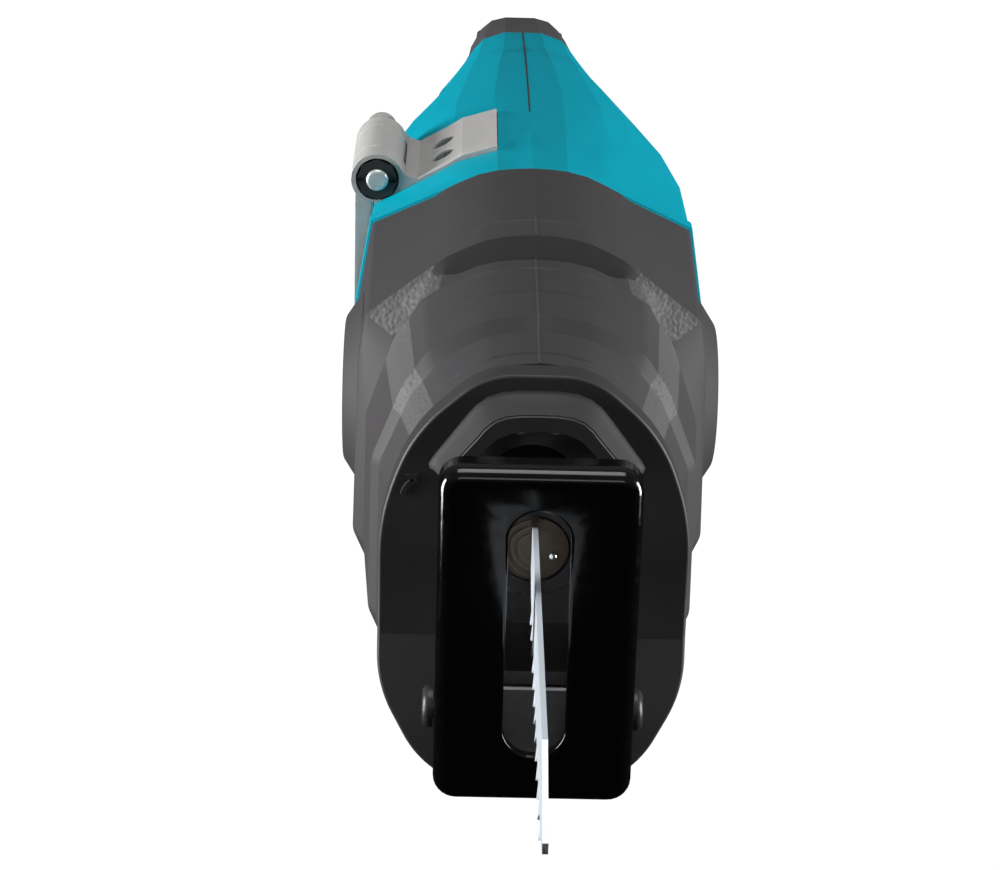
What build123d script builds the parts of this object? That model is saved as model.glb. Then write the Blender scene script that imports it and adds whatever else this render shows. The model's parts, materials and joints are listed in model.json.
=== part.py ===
from build123d import *
from math import cos, radians, sin
import os

# A cordless reciprocating saw: boot-covered gear housing, teal clamshell with a D handle, and a slide-on battery.
#
# Frame, in millimetres: the plunger runs along Y through the origin, which is where its axis crosses the shoe's
# face. The blade points to -Y, the handle is at +Y, and +Z is up. +X is the left hand side of a user behind the tool.

os.makedirs("parts", exist_ok=True)

# Driving dimensions
WALL = 3.0  # clamshell wall
BOOT_WALL = 3.0  # rubber boot over the gear housing
GAP = 0.3  # between parts that move past each other
FIT = 0.1  # between nested parts of one body
PLAY = 0.04  # radial play of a shaft in its bush

GUARD_FRONT, GUARD_BACK = 40.0, 47.9  # nose guard flange
BOOT_FRONT, BOOT_BACK = 48.0, 160.0
METAL_FRONT, METAL_BACK = 48.0, 176.0  # gear housing castings
POCKET_BACK = 76.0  # back of the open nose pocket
CRANKCASE_FRONT = 104.0
CASTING_SPLIT = -38.0  # height where the gear housing's cover starts

STROKE = 32.0
CRANK_Y = 133.0
CRANK_THROW = STROKE / 2
YOKE_HALF = 8.0  # half height of the plunger's yoke block

MOTOR_Z = -19.0
GEAR_TEETH, PINION_TEETH = 36, 9
GEAR_MEAN_R = 27.5
PINION_R = GEAR_MEAN_R * PINION_TEETH / GEAR_TEETH
TOOTH_DEPTH = 1.5
TOOTH_THICK = 1.5
BEARING_BALLS = 9
PITCH_Z = MOTOR_Z - PINION_R

SHOE_W, SHOE_TOP, SHOE_BOTTOM, SHOE_DEPTH = 46.5, 36.7, -47.3, 9.0
SLOT_W, SLOT_TOP, SLOT_BOTTOM = 14.5, 27.0, -35.0
SHOE_PIN_Y, SHOE_PIN_Z = 16.0, -30.5
SHOE_SHEET = 2.3

BLADE_TIP = -92.0
BLADE_THICK = 1.25

HOOK_X, HOOK_Z = -43.0, 50.0  # hook hinge, along Y
HOOK_FRONT, HOOK_BACK = 178.0, 216.5

FOOT_TOP, FOOT_BOTTOM = -46.0, -74.0
FOOT_FRONT, FOOT_BACK = 322.0, 434.0
BATTERY_FRONT, BATTERY_BACK, BATTERY_HALF, BATTERY_BASE = 322.0, 440.0, 41.0, -134.0

# Half outlines of the body, from the crowned top round to the bottom flat: (x, z) at each distance along Y
BODY = {
    46: ((7, 44), (15, 41), (21.5, 36), (27.5, 29), (35, 12), (36, -35), (30, -48), (16, -55)),
    63: ((8, 46), (17.5, 42.6), (25, 37), (31, 29), (38.5, 11), (39, -31), (32, -48), (17, -56.5)),
    71: ((9, 49), (19, 45.4), (27, 39.8), (33, 30.5), (40.5, 11), (41, -30), (33, -48.5), (18, -57)),
    103: ((9.5, 51), (20, 47), (28.5, 41.5), (36, 30.5), (43, 10), (43.5, -28), (34, -49), (19, -58.5)),
    108: ((9, 56.6), (19, 53), (26, 48.8), (43.5, 35), (45.5, 20), (46.5, -26), (36, -50), (20, -59.5)),
    160: ((9.5, 58.9), (20, 55.2), (26.8, 51), (43.7, 43), (47.5, 20), (47, -26), (36, -50), (20, -60)),
    200: ((10, 59.8), (22, 56.2), (29.5, 52), (43.5, 43), (48, 20), (47, -26), (36, -50), (20, -60)),
    240: ((10, 59.3), (21.5, 55.8), (30, 50.5), (40.5, 41), (45.5, 18), (45, -26), (35, -49), (19, -58)),
    280: ((8.5, 57.3), (18, 53.9), (24.5, 49.5), (35, 38.5), (40, 16), (40, -24), (31, -46), (17, -55)),
    305: ((7, 55.6), (15.5, 52.6), (20, 48.6), (29, 38), (31, 18), (31, -22), (24, -44), (14, -53)),
}
# The handle's top bar, the same way round, down to its underside
TOP_BAR = {
    296: ((7, 56.2), (15.8, 53.2), (20.8, 49), (30, 38), (30, 31), (12, 26)),
    320: ((6.5, 54), (14.5, 51.2), (18.5, 47.5), (26.5, 38), (26, 31), (11, 26)),
    345: ((6, 51.6), (13, 49.2), (16, 45.8), (21, 38), (20.5, 31), (10, 26)),
    365: ((5.5, 49.2), (12, 47.2), (15, 44), (18, 37.5), (17.5, 30), (10, 26)),
    398: ((5, 43.9), (10, 42.6), (13.5, 39.5), (17, 33), (17, 25), (9, 20)),
}
# The grip: height, front, back and half width of each rounded level
GRIP = ((38, 370, 407, 15.0), (8, 372, 416, 17.0), (-20, 378, 421, 17.0), (-52, 385, 431, 18.0))
RUBBER_START = 345.0  # the handle is rubber-covered behind this
RUBBER = 2.0

# Openings and fixings of the castings under the boot
NOSE_POCKET = [(-6.5, 33.5), (6.5, 33.5), (16.5, 22), (17.5, 10), (17.5, -20), (12.5, -37), (-12.5, -37)]
NOSE_POCKET += [(-17.5, -20), (-17.5, 10), (-16.5, 22)]
BAR_HALF, BAR_TOP, BAR_BOTTOM, BAR_BACK = 9.0, -41.0, -50.0, 96.0
LOCK_BUTTON_Y = 71.3
COVER_SCREWS = [(-26, 94), (26, 94), (-27, 163), (27, 163)]
SCREW_SEAT = -44.6
# The nose guard's half outline: (x, z) and the radius of each corner
GUARD = (((13, 44.7), 20), ((30, 29.5), 40), ((37.7, 8), 60), ((37.7, -36), 30), ((24, -60), 24))
# Clamshell screws: (y, z) and how far each boss reaches out from the middle
BOSSES = [
    (193.4, -51.4, 29.0),
    (292, -40, 25.0),
    (310, 38, 22.5),
    (336, 37, 18.0),
    (403, -36, 14.9),
    (300, -62, 15.5),
    (424, -60, 27.5),
]
STRUT = [(262, -50), (305, -40), (324, FOOT_TOP), (324, FOOT_BOTTOM), (303, -72), (268, -57)]
VENT_ROWS = [250 + 6.4 * i for i in range(5)]
HOOK_PLATE = ((9.7, 59.4), (21, 55.9), (28.3, 51.5), (43.6, 43))  # the strap's (x, z) over the corner
HOOK_STRAP = [(-9.7, 60.7), (-19.5, 57.7), (-23.8, 54.9), (-31.8, 50.4), (-35, 51.5), (-38, 55.4), (-43, 50)]
HOOK_STRAP += [(-42.4, 40.3), (-27.1, 48.8), (-19.8, 53.2), (-9.7, 56.7)]
HOOK_BARREL = 7.4
HOOK_SCREW_Y = (189.5, 202.5)
LOCK_Y, LOCK_Z = 358.0, 35.0
TRIGGER_SPRING_Z = -16.0

parts = []


def keep(part, name):
    """Names a finished piece and writes its STEP file."""
    part.label = name
    export_step(part, f"parts/{name}.step")
    parts.append(part)
    return part


def block(low, high, mode=Mode.ADD):
    """A box between two opposite corners."""
    middle = [(a + b) / 2 for a, b in zip(low, high)]
    with Locations(tuple(middle)):
        return Box(*[b - a for a, b in zip(low, high)], mode=mode)


def rod_x(y, z, radius, x0, x1, mode=Mode.ADD):
    """A round bar along X."""
    with Locations(((x0 + x1) / 2, y, z)):
        return Cylinder(radius, x1 - x0, rotation=(0, 90, 0), mode=mode)


def rod_y(x, z, radius, y0, y1, mode=Mode.ADD):
    """A round bar along Y."""
    with Locations((x, (y0 + y1) / 2, z)):
        return Cylinder(radius, y1 - y0, rotation=(90, 0, 0), mode=mode)


def rod_z(x, y, radius, z0, z1, mode=Mode.ADD):
    """A round bar along Z."""
    with Locations((x, y, (z0 + z1) / 2)):
        return Cylinder(radius, z1 - z0, mode=mode)


def at_y(y):
    """The plane across the tool at y, with its own x and y along X and Z."""
    return Plane.XZ.offset(-y)


def mirrored(half):
    """A closed outline's points from its right-hand half."""
    return [*half, *[(-x, z) for x, z in reversed(half)]]


def across(y, half, inset=0.0):
    """A body outline across the tool at y, pulled in by inset."""
    with BuildSketch(at_y(y)) as face:
        with BuildLine():
            Polyline(*mirrored(half), close=True)
        make_face()
        if inset:
            offset(amount=-inset, kind=Kind.INTERSECTION, mode=Mode.REPLACE)
    return face.sketch


def between(table, y):
    """The half outline at y, worked out in a straight line between its two neighbours in the table."""
    stations = sorted(table)
    low = max(s for s in stations if s <= y)
    high = min(s for s in stations if s >= y)
    if low == high:
        return table[low]
    share = (y - low) / (high - low)
    return tuple(
        (a[0] + share * (b[0] - a[0]), a[1] + share * (b[1] - a[1])) for a, b in zip(table[low], table[high])
    )


def skin(table, y0, y1, inset=0.0, mode=Mode.ADD):
    """The body between two stations as one faceted loft, pulled in by inset."""
    stations = [y0, *[s for s in sorted(table) if y0 < s < y1], y1]
    return loft(sections=[across(y, between(table, y), inset) for y in stations], ruled=True, mode=mode)


def side_profile(points, half_width, mode=Mode.ADD):
    """A prism across the tool from a (y, z) outline."""
    with BuildSketch(Plane.YZ) as face:
        with BuildLine():
            Polyline(*points, close=True)
        make_face()
    return extrude(face.sketch, amount=half_width, both=True, mode=mode)


def front_profile(points, y0, y1, mode=Mode.ADD):
    """A prism along the tool from an (x, z) outline."""
    with BuildSketch(at_y(y0)) as face:
        with BuildLine():
            Polyline(*points, close=True)
        make_face()
    return extrude(face.sketch, amount=-(y1 - y0), mode=mode)


# Blade, its clamp and the plunger
def blade():
    teeth_z, spine_z, tooth_pitch, tooth_height = -12.0, 7.0, 4.2, 2.2
    tooth_start = 30.0
    count = int((tooth_start - BLADE_TIP - 8) / tooth_pitch)
    edge = []
    for i in range(count):
        y = tooth_start - i * tooth_pitch
        edge += [(y, teeth_z + tooth_height), (y - 0.7 * tooth_pitch, teeth_z)]
    last = tooth_start - count * tooth_pitch
    outline = [(57, 5.5), (40, 5.5), (36, spine_z), (-70, spine_z), (BLADE_TIP, -4.5), (BLADE_TIP, -7)]
    outline += [(last, teeth_z + tooth_height), *reversed(edge), (34, -9), (40, -6.5), (57, -6.5)]
    with BuildPart() as body:
        side_profile(outline, BLADE_THICK / 2)
        rod_x(50, 0, 2.3, -2, 2, mode=Mode.SUBTRACT)
    return keep(body.part, "blade")


def plunger():
    """Round in the bush, then a flat yoke block whose cross slot takes the crank roller."""
    front, yoke_front, yoke_back = 59.6, CRANK_Y - 12.6, CRANK_Y + 12.6
    with BuildPart() as body:
        rod_y(0, 0, 8, front, yoke_front + 1)
        block((-25, yoke_front, -YOKE_HALF), (25, yoke_back, YOKE_HALF))
        block((-22.5, CRANK_Y - 6.3, -9), (22.5, CRANK_Y + 6.3, 9), mode=Mode.SUBTRACT)
        chamfer(body.edges().filter_by(Axis.Z).group_by(Axis.X)[0], 2)
        chamfer(body.edges().filter_by(Axis.Z).group_by(Axis.X)[-1], 2)
    return keep(body.part, "plunger")


def clamp_body():
    """The split nose on the plunger's end that the blade's tang slides into."""
    with BuildPart() as body:
        rod_y(0, 0, 8.5, 40.5, 59.6)
        block((-0.7, 39, -6.7), (0.7, 57.2, 5.7), mode=Mode.SUBTRACT)
        rod_x(50, 0, 2.05, 0, 12, mode=Mode.SUBTRACT)
    return keep(body.part, "clamp_body")


def clamp_pin():
    with BuildPart() as body:
        rod_x(50, 0, 2.0, -0.6, 8.0)
        fillet(body.edges().sort_by(Axis.X)[-1:], 0.8)
    return keep(body.part, "clamp_pin")


def coil(name, x, z, radius, wire, y0, y1, pitch):
    """A coil spring along the tool, between y0 and y1."""
    with BuildPart() as body:
        with BuildLine() as turns:
            Helix(pitch, y1 - y0, radius, center=(x, y0, z), direction=(0, 1, 0))
        with BuildSketch(Plane(origin=turns.line @ 0, z_dir=turns.line % 0)):
            Circle(wire / 2)
        sweep(path=turns.line)
    return keep(body.part, name)


def clamp_sleeve():
    """Knurled sleeve round the clamp, with the finger lever that opens it."""
    outer, inner, y0, y1, flutes = 12.4, 8.5 + GAP, 40.0, 57.2, 18
    with BuildPart() as body:
        rod_y(0, 0, outer, y0, y1)
        front_profile([(-9, 9), (9, 9), (16.2, -2), (15.2, -8), (9, -6)], 46, 55)
        rod_y(0, 0, inner, y0 - 1, y1 + 1, mode=Mode.SUBTRACT)
        for i in range(flutes):
            angle = radians(360 / flutes * i)
            rod_y((outer + 0.6) * cos(angle), (outer + 0.6) * sin(angle), 1.0, y0 - 1, 45, mode=Mode.SUBTRACT)
        chamfer(body.faces().sort_by(Axis.Y)[0].outer_wire().edges(), 0.25)
    return keep(body.part, "clamp_sleeve")


def plunger_bush():
    with BuildPart() as body:
        rod_y(0, 0, 12.4, 80.5, 103)
        rod_y(0, 0, 8 + PLAY, 80, 104, mode=Mode.SUBTRACT)
    return keep(body.part, "plunger_bush")


def plunger_seal():
    with BuildPart() as body:
        rod_y(0, 0, 12.4, 76.2, 80.4)
        rod_y(0, 0, 8 + PLAY, 76, 81, mode=Mode.SUBTRACT)
        rod_y(0, 0, 10.4, 75, 78.3, mode=Mode.SUBTRACT)
    return keep(body.part, "plunger_seal")


def guide_rails():
    """Two channel rails that hold the yoke block level."""
    with BuildPart() as body:
        for side in (-1, 1):
            x0, x1 = sorted((side * (25 + GAP), side * 29))
            block((x0, 104.5, -11), (x1, 166, 11))
            x0, x1 = sorted((side * 23.5, side * 29))
            block((x0, 104.5, 8 + GAP), (x1, 166, 11))
    return keep(body.part, "guide_rails")


def counterweight():
    """Balance plate above the yoke, driven the opposite way."""
    with BuildPart() as body:
        block((-21, CRANK_Y - 19, 12), (21, CRANK_Y + 29, 20))
        block((-13, CRANK_Y, 11), (13, CRANK_Y + 10, 21), mode=Mode.SUBTRACT)
        fillet(body.edges().filter_by(Axis.Z).group_by(Axis.X)[0], 4)
        fillet(body.edges().filter_by(Axis.Z).group_by(Axis.X)[-1], 4)
    return keep(body.part, "counterweight")


# Crank gear train and motor
def crank_gear():
    """Face gear with straight radial teeth, on a vertical shaft."""
    top = PITCH_Z + TOOTH_DEPTH / 2 - 0.1
    root = top - TOOTH_DEPTH
    with BuildPart() as body:
        rod_z(0, CRANK_Y, 32, root - 7, root)
        rod_z(0, CRANK_Y, 6, -49.6, root)
        rod_z(0, CRANK_Y, 9, -39.8, root - 7)
        rod_z(CRANK_THROW, CRANK_Y, 5 + FIT, root - 6, root + 1, mode=Mode.SUBTRACT)
        with Locations((0, CRANK_Y, (root + top) / 2)):
            with PolarLocations(GEAR_MEAN_R, GEAR_TEETH, start_angle=90):
                Box(9, TOOTH_THICK, TOOTH_DEPTH)
    return keep(body.part, "crank_gear")


def crank_pin():
    floor = PITCH_Z - TOOTH_DEPTH / 2 - 6
    with BuildPart() as body:
        rod_z(CRANK_THROW, CRANK_Y, 5, floor, -YOKE_HALF - 0.6)
    return keep(body.part, "crank_pin")


def crank_roller():
    """Needle roller cage on the crank pin."""
    with BuildPart() as body:
        rod_z(CRANK_THROW, CRANK_Y, 6.0, -18, -YOKE_HALF - 0.6)
        rod_z(CRANK_THROW, CRANK_Y, 5 + PLAY, -19, 0, mode=Mode.SUBTRACT)
    return keep(body.part, "crank_roller")


def ring_bearing(name, point, axis, bore, outer, width):
    """A ball bearing as an outer ring, an inner ring and its balls, on a vertical or lengthways axis."""
    mid, ring = (bore + outer) / 2, (outer - bore) * 0.3
    ball = (outer - bore) / 2 - ring - 0.03
    turn = (90, 0, 0) if axis == "y" else (0, 0, 0)
    plane = Plane(origin=point, z_dir=(0, 1, 0) if axis == "y" else (0, 0, 1))
    with BuildPart() as body:
        with Locations(Location(point, turn)):
            Cylinder(outer, width)
            Cylinder(outer - ring, width + 1, mode=Mode.SUBTRACT)
            Cylinder(bore + ring, width)
            Cylinder(bore, width + 1, mode=Mode.SUBTRACT)
        with Locations(plane):
            with PolarLocations(mid, BEARING_BALLS):
                Sphere(ball)
    return keep(body.part, name)


def pinion():
    y0, y1 = CRANK_Y + GEAR_MEAN_R - 4.3, CRANK_Y + GEAR_MEAN_R + 4.3
    root, tip = PINION_R - TOOTH_DEPTH / 2 - 0.2, PINION_R + TOOTH_DEPTH / 2 - 0.1
    with BuildPart() as body:
        rod_y(0, MOTOR_Z, root, y0, y1)
        for i in range(PINION_TEETH):
            with BuildSketch(at_y(y0)) as tooth:
                with Locations((0, MOTOR_Z)):
                    with PolarLocations((root - 1 + tip) / 2, 1, start_angle=90 + 360 / PINION_TEETH * i):
                        Rectangle(tip - root + 1, TOOTH_THICK)
            extrude(tooth.sketch, amount=-(y1 - y0))
        rod_y(0, MOTOR_Z, 3.5 + FIT, y0 - 1, y1 + 1, mode=Mode.SUBTRACT)
    return keep(body.part, "pinion")


def motor_shaft():
    with BuildPart() as body:
        rod_y(0, MOTOR_Z, 3.5, CRANK_Y + GEAR_MEAN_R - 4, 277)
        rod_y(0, MOTOR_Z, 5.5, 189, 193.5)
    return keep(body.part, "motor_shaft")


def rotor_core():
    """Laminated rotor with four buried magnets' end slots."""
    with BuildPart() as body:
        rod_y(0, MOTOR_Z, 14.5, 196, 242)
        rod_y(0, MOTOR_Z, 3.5 + FIT, 195, 243, mode=Mode.SUBTRACT)
        with BuildSketch(at_y(196)) as slots:
            with Locations((0, MOTOR_Z)):
                with PolarLocations(10.5, 4):
                    Rectangle(2.4, 11)
        extrude(slots.sketch, amount=-2, mode=Mode.SUBTRACT)
    return keep(body.part, "rotor_core")


def motor_stator():
    """Stator ring with six wound teeth."""
    with BuildPart() as body:
        rod_y(0, MOTOR_Z, 26, 197, 241)
        rod_y(0, MOTOR_Z, 22, 196, 242, mode=Mode.SUBTRACT)
        with BuildSketch(at_y(197)) as teeth:
            with Locations((0, MOTOR_Z)):
                with PolarLocations(19, 6):
                    Rectangle(7.5, 6)
        extrude(teeth.sketch, amount=-44)
        with BuildSketch(at_y(193.5)) as coils:
            with Locations((0, MOTOR_Z)):
                with PolarLocations(19.2, 6):
                    RectangleRounded(5.4, 13, 2.4)
        extrude(coils.sketch, amount=-51)
        rod_y(0, MOTOR_Z, 15.2, 190, 250, mode=Mode.SUBTRACT)
    return keep(body.part, "motor_stator")


def fan():
    blades = 17
    with BuildPart() as body:
        rod_y(0, MOTOR_Z, 24, 249, 250.5)
        rod_y(0, MOTOR_Z, 7, 249, 259)
        for i in range(blades):
            with BuildSketch(at_y(250)) as vane:
                with Locations((0, MOTOR_Z)):
                    with PolarLocations(15.5, 1, start_angle=360 / blades * i):
                        Rectangle(17, 1.4, rotation=14)
            extrude(vane.sketch, amount=-8)
        rod_y(0, MOTOR_Z, 3.5 + FIT, 248, 260, mode=Mode.SUBTRACT)
    return keep(body.part, "fan")


# Castings, boot and nose
def casting_space():
    """The gear housing's inside: nose pocket, bush seat, crankcase and the shoe bar's channel."""
    front_profile(NOSE_POCKET, METAL_FRONT - 1, POCKET_BACK, mode=Mode.SUBTRACT)
    rod_y(0, 0, 12.4 + FIT, POCKET_BACK - 1, CRANKCASE_FRONT + 1, mode=Mode.SUBTRACT)
    skin(BODY, 108, METAL_BACK + 1, BOOT_WALL + 4.5, mode=Mode.SUBTRACT)
    block((-32, CRANKCASE_FRONT, -34.5), (32, 109, 34), mode=Mode.SUBTRACT)
    rod_z(0, CRANK_Y, 33.2, CASTING_SPLIT - 1, -24, mode=Mode.SUBTRACT)
    reach = BAR_HALF + GAP
    block((-reach, METAL_FRONT - 1, BAR_BOTTOM - GAP), (reach, BAR_BACK + 3, BAR_TOP + GAP), mode=Mode.SUBTRACT)


def gear_housing():
    """Upper casting: nose, bush seat and crankcase walls."""
    with BuildPart() as body:
        skin(BODY, METAL_FRONT, METAL_BACK, BOOT_WALL + FIT)
        casting_space()
        for x, y in COVER_SCREWS:
            rod_z(x, y, 4.8, CASTING_SPLIT, CASTING_SPLIT + 14)
            if y > CRANK_Y:
                x0, x1 = sorted((x, x * 1.36))
                block((x0, y - 4, CASTING_SPLIT), (x1, y + 4, CASTING_SPLIT + 14))
            rod_z(x, y, 1.9, CASTING_SPLIT - 1, CASTING_SPLIT + 11, mode=Mode.SUBTRACT)
        block((-60, METAL_FRONT - 1, -80), (60, METAL_BACK + 1, CASTING_SPLIT), mode=Mode.SUBTRACT)
    return keep(body.part, "gear_housing")


def gear_housing_cover():
    """Lower casting: crankcase floor with the gear shaft's bearing seat."""
    with BuildPart() as body:
        skin(BODY, METAL_FRONT, METAL_BACK, BOOT_WALL + FIT)
        casting_space()
        rod_z(0, CRANK_Y, 16.5, -54, -40.5)
        rod_z(0, CRANK_Y, 13 + FIT, -49.4, -40, mode=Mode.SUBTRACT)
        rod_z(0, CRANK_Y, 7, -51, -40, mode=Mode.SUBTRACT)
        for x, y in COVER_SCREWS:
            rod_z(x, y, 4.8, SCREW_SEAT - 2.5, CASTING_SPLIT)
            rod_z(x, y, 2.2, -60, CASTING_SPLIT + 1, mode=Mode.SUBTRACT)
            rod_z(x, y, 3.9, -60, SCREW_SEAT, mode=Mode.SUBTRACT)
        rod_z(0, LOCK_BUTTON_Y, 2.2 + GAP, -60, BAR_BOTTOM, mode=Mode.SUBTRACT)
        block((-60, METAL_FRONT - 1, CASTING_SPLIT), (60, METAL_BACK + 1, 80), mode=Mode.SUBTRACT)
    return keep(body.part, "gear_housing_cover")


def cover_screws():
    with BuildPart() as body:
        for x, y in COVER_SCREWS:
            rod_z(x, y, 1.85, SCREW_SEAT, CASTING_SPLIT + 10)
            rod_z(x, y, 3.7, SCREW_SEAT - 3, SCREW_SEAT)
            rod_z(x, y, 1.6, SCREW_SEAT - 4, SCREW_SEAT - 1.5, mode=Mode.SUBTRACT)
    return keep(body.part, "cover_screws")


def gear_boot():
    """Rubber boot with stepped finger waves along the top of its neck."""
    with BuildPart() as body:
        skin(BODY, BOOT_FRONT, BOOT_BACK, 0)
        skin(BODY, BOOT_FRONT - 1, BOOT_BACK + 1, BOOT_WALL, mode=Mode.SUBTRACT)
        for x in (-1, 1):
            rod_x(CRANK_Y, 5, 27.4, *sorted((x * 44.4, x * 55)), mode=Mode.SUBTRACT)
        rod_z(0, LOCK_BUTTON_Y, 6.5, -70, -50, mode=Mode.SUBTRACT)
    return keep(body.part, "gear_boot")


def side_bumpers():
    """Round wear pads over the crankcase sides, set into the boot."""
    with BuildPart() as body:
        for side in (-1, 1):
            plane = Plane(origin=(side * 44.6, CRANK_Y, 5), x_dir=(0, 1, 0), z_dir=(side, 0, 0))
            with BuildSketch(plane) as base:
                Circle(27)
            with BuildSketch(plane.offset(5.2)) as crown:
                Circle(19)
            loft(sections=[base.sketch, crown.sketch])
        fillet(body.faces().sort_by(Axis.X)[-1].edges(), 3)
        fillet(body.faces().sort_by(Axis.X)[0].edges(), 3)
    return keep(body.part, "side_bumpers")


def nose_guard():
    """Flange round the nose, with the hood that shades the lamp and the blade clamp."""
    crease, lean_y = -23.5, 30.0
    with BuildPart() as body:
        with BuildSketch(at_y(GUARD_BACK)) as flange:
            with BuildLine():
                Polyline(*mirrored([corner for corner, _ in GUARD]), close=True)
            make_face()
            for (x, z), radius in GUARD:
                fillet([v for v in flange.vertices() if abs(abs(v.X) - x) + abs(v.Y - z) < 0.01], radius)
        extrude(flange.sketch, amount=GUARD_BACK - 26)
        front = [(20, 60), (GUARD_FRONT, 60), (GUARD_FRONT, crease), (lean_y, -60), (lean_y, -70), (20, -70)]
        side_profile(front, 50, mode=Mode.SUBTRACT)
        hood_root = [(-11.5, 38.8), (11.5, 38.8), (23, 23), (23, 20.5), (-23, 20.5), (-23, 23)]
        front_profile(hood_root, 28, GUARD_BACK)
        front_profile(NOSE_POCKET, 20, GUARD_BACK + 1, mode=Mode.SUBTRACT)
        reach = BAR_HALF + GAP
        block((-reach, 20, BAR_BOTTOM - GAP), (reach, GUARD_BACK + 1, -30), mode=Mode.SUBTRACT)
    return keep(body.part, "nose_guard")


def led_board():
    with BuildPart() as body:
        block((-6.8, 52, 30.0), (6.8, 58, 31.4))
        block((-7.5, 58, 29.5), (7.5, 60, 31.8))
    return keep(body.part, "led_board")


def led_lenses():
    """Two clear domes under the hood."""
    with BuildPart() as body:
        for x in (-4.2, 4.2):
            rod_y(x, 29.8, 2.4, 46, 51.9)
            with Locations((x, 46, 29.8)):
                Sphere(2.4)
    return keep(body.part, "led_lenses")


# Adjustable shoe
def shoe_plate():
    """Stamped tray that rests on the work, with two ears for its pivot pin."""
    middle = (SHOE_TOP + SHOE_BOTTOM) / 2
    height = SHOE_TOP - SHOE_BOTTOM
    slot_middle, slot_length = (SLOT_TOP + SLOT_BOTTOM) / 2, SLOT_TOP - SLOT_BOTTOM
    with BuildPart() as body:
        with BuildSketch(at_y(0)) as face:
            with Locations((0, middle)):
                RectangleRounded(SHOE_W, height, 5.5)
        extrude(face.sketch, amount=-SHOE_DEPTH)
        fillet(body.faces().sort_by(Axis.Y)[0].outer_wire().edges(), 3.2)
        with BuildSketch(at_y(SHOE_SHEET)) as hollow:
            with Locations((0, middle)):
                RectangleRounded(SHOE_W - 2 * SHOE_SHEET, height - 2 * SHOE_SHEET, 3.2)
        extrude(hollow.sketch, amount=-SHOE_DEPTH, mode=Mode.SUBTRACT)
        with BuildSketch(at_y(0)) as slot:
            with Locations((0, slot_middle)):
                SlotOverall(slot_length, SLOT_W, rotation=90)
        extrude(slot.sketch, amount=-SHOE_DEPTH, mode=Mode.SUBTRACT)
        outer = SHOE_W / 2
        for x0, x1 in ((-outer, -outer + SHOE_SHEET), (outer - SHOE_SHEET, outer)):
            block((x0, 5, SHOE_PIN_Z - 9), (x1, SHOE_PIN_Y, SHOE_PIN_Z + 9))
            rod_x(SHOE_PIN_Y, SHOE_PIN_Z, 9, x0, x1)
        rod_x(SHOE_PIN_Y, SHOE_PIN_Z, 3 + PLAY, -30, 30, mode=Mode.SUBTRACT)
    return keep(body.part, "shoe_plate")


def shoe_bar():
    """Forked arm that carries the shoe and slides in the channel under the nose."""
    half = SHOE_W / 2 - SHOE_SHEET - GAP
    with BuildPart() as body:
        block((-half, 10.5, -38), (half, 24, -23))
        block((-half + 3, 12, -36), (half - 3, 27, -16), mode=Mode.SUBTRACT)
        block((-half, 19, -50), (half, 24, -34))
        block((-BAR_HALF, 20, BAR_BOTTOM), (BAR_HALF, BAR_BACK, BAR_TOP))
        rod_x(SHOE_PIN_Y, SHOE_PIN_Z, 3 + FIT, -30, 30, mode=Mode.SUBTRACT)
        for notch in range(4):
            block((-3.2, 60 + 9 * notch, BAR_BOTTOM - 1), (3.2, 64.5 + 9 * notch, BAR_BOTTOM + 3), mode=Mode.SUBTRACT)
    return keep(body.part, "shoe_bar")


def shoe_pin():
    with BuildPart() as body:
        head = SHOE_W / 2 + GAP
        rod_x(SHOE_PIN_Y, SHOE_PIN_Z, 3, -head, head)
        for x0, x1 in ((-head - 2.6, -head), (head, head + 2.6)):
            rod_x(SHOE_PIN_Y, SHOE_PIN_Z, 5, x0, x1)
        fillet(body.faces().sort_by(Axis.X)[-1].edges(), 1.6)
        fillet(body.faces().sort_by(Axis.X)[0].edges(), 1.6)
    return keep(body.part, "shoe_pin")


def shoe_lock_button():
    """Push button under the nose that frees the shoe bar."""
    with BuildPart() as body:
        rod_z(0, LOCK_BUTTON_Y, 2.2, -58, -53.4)
        rod_z(0, LOCK_BUTTON_Y, 6.0, -61, -56.8)
        fillet(body.faces().sort_by(Axis.Z)[0].edges(), 1.5)
    return keep(body.part, "shoe_lock_button")


# Clamshell and handle
def grip_column(inset=0.0, mode=Mode.ADD):
    """The upright grip as a loft through rounded levels, pulled in by inset at the sides and the top."""
    levels = []
    for z, front, back, half in GRIP:
        if z == GRIP[0][0]:
            z -= inset
        with BuildSketch(Plane.XY.offset(z)) as level:
            with Locations((0, (front + back) / 2)):
                RectangleRounded(2 * (half - inset), back - front - 2 * inset, 9 - inset)
        levels.append(level.sketch)
    return loft(sections=levels, mode=mode)


def shell_outside():
    """The clamshell's outer form: motor body, top bar, grip, foot and strut."""
    skin(BODY, BOOT_BACK, 305, 0)
    skin(TOP_BAR, 296, 398, 0)
    grip_column()
    side_profile(STRUT, 17)
    with BuildSketch(Plane.XY.offset(FOOT_BOTTOM)) as foot:
        with Locations((0, (FOOT_FRONT + FOOT_BACK) / 2)):
            RectangleRounded(66, FOOT_BACK - FOOT_FRONT, 12)
    with BuildSketch(Plane.XY.offset(FOOT_TOP)) as instep:
        with Locations((0, (FOOT_FRONT + FOOT_BACK) / 2)):
            RectangleRounded(50, FOOT_BACK - FOOT_FRONT - 8, 12)
    loft(sections=[foot.sketch, instep.sketch])


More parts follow.
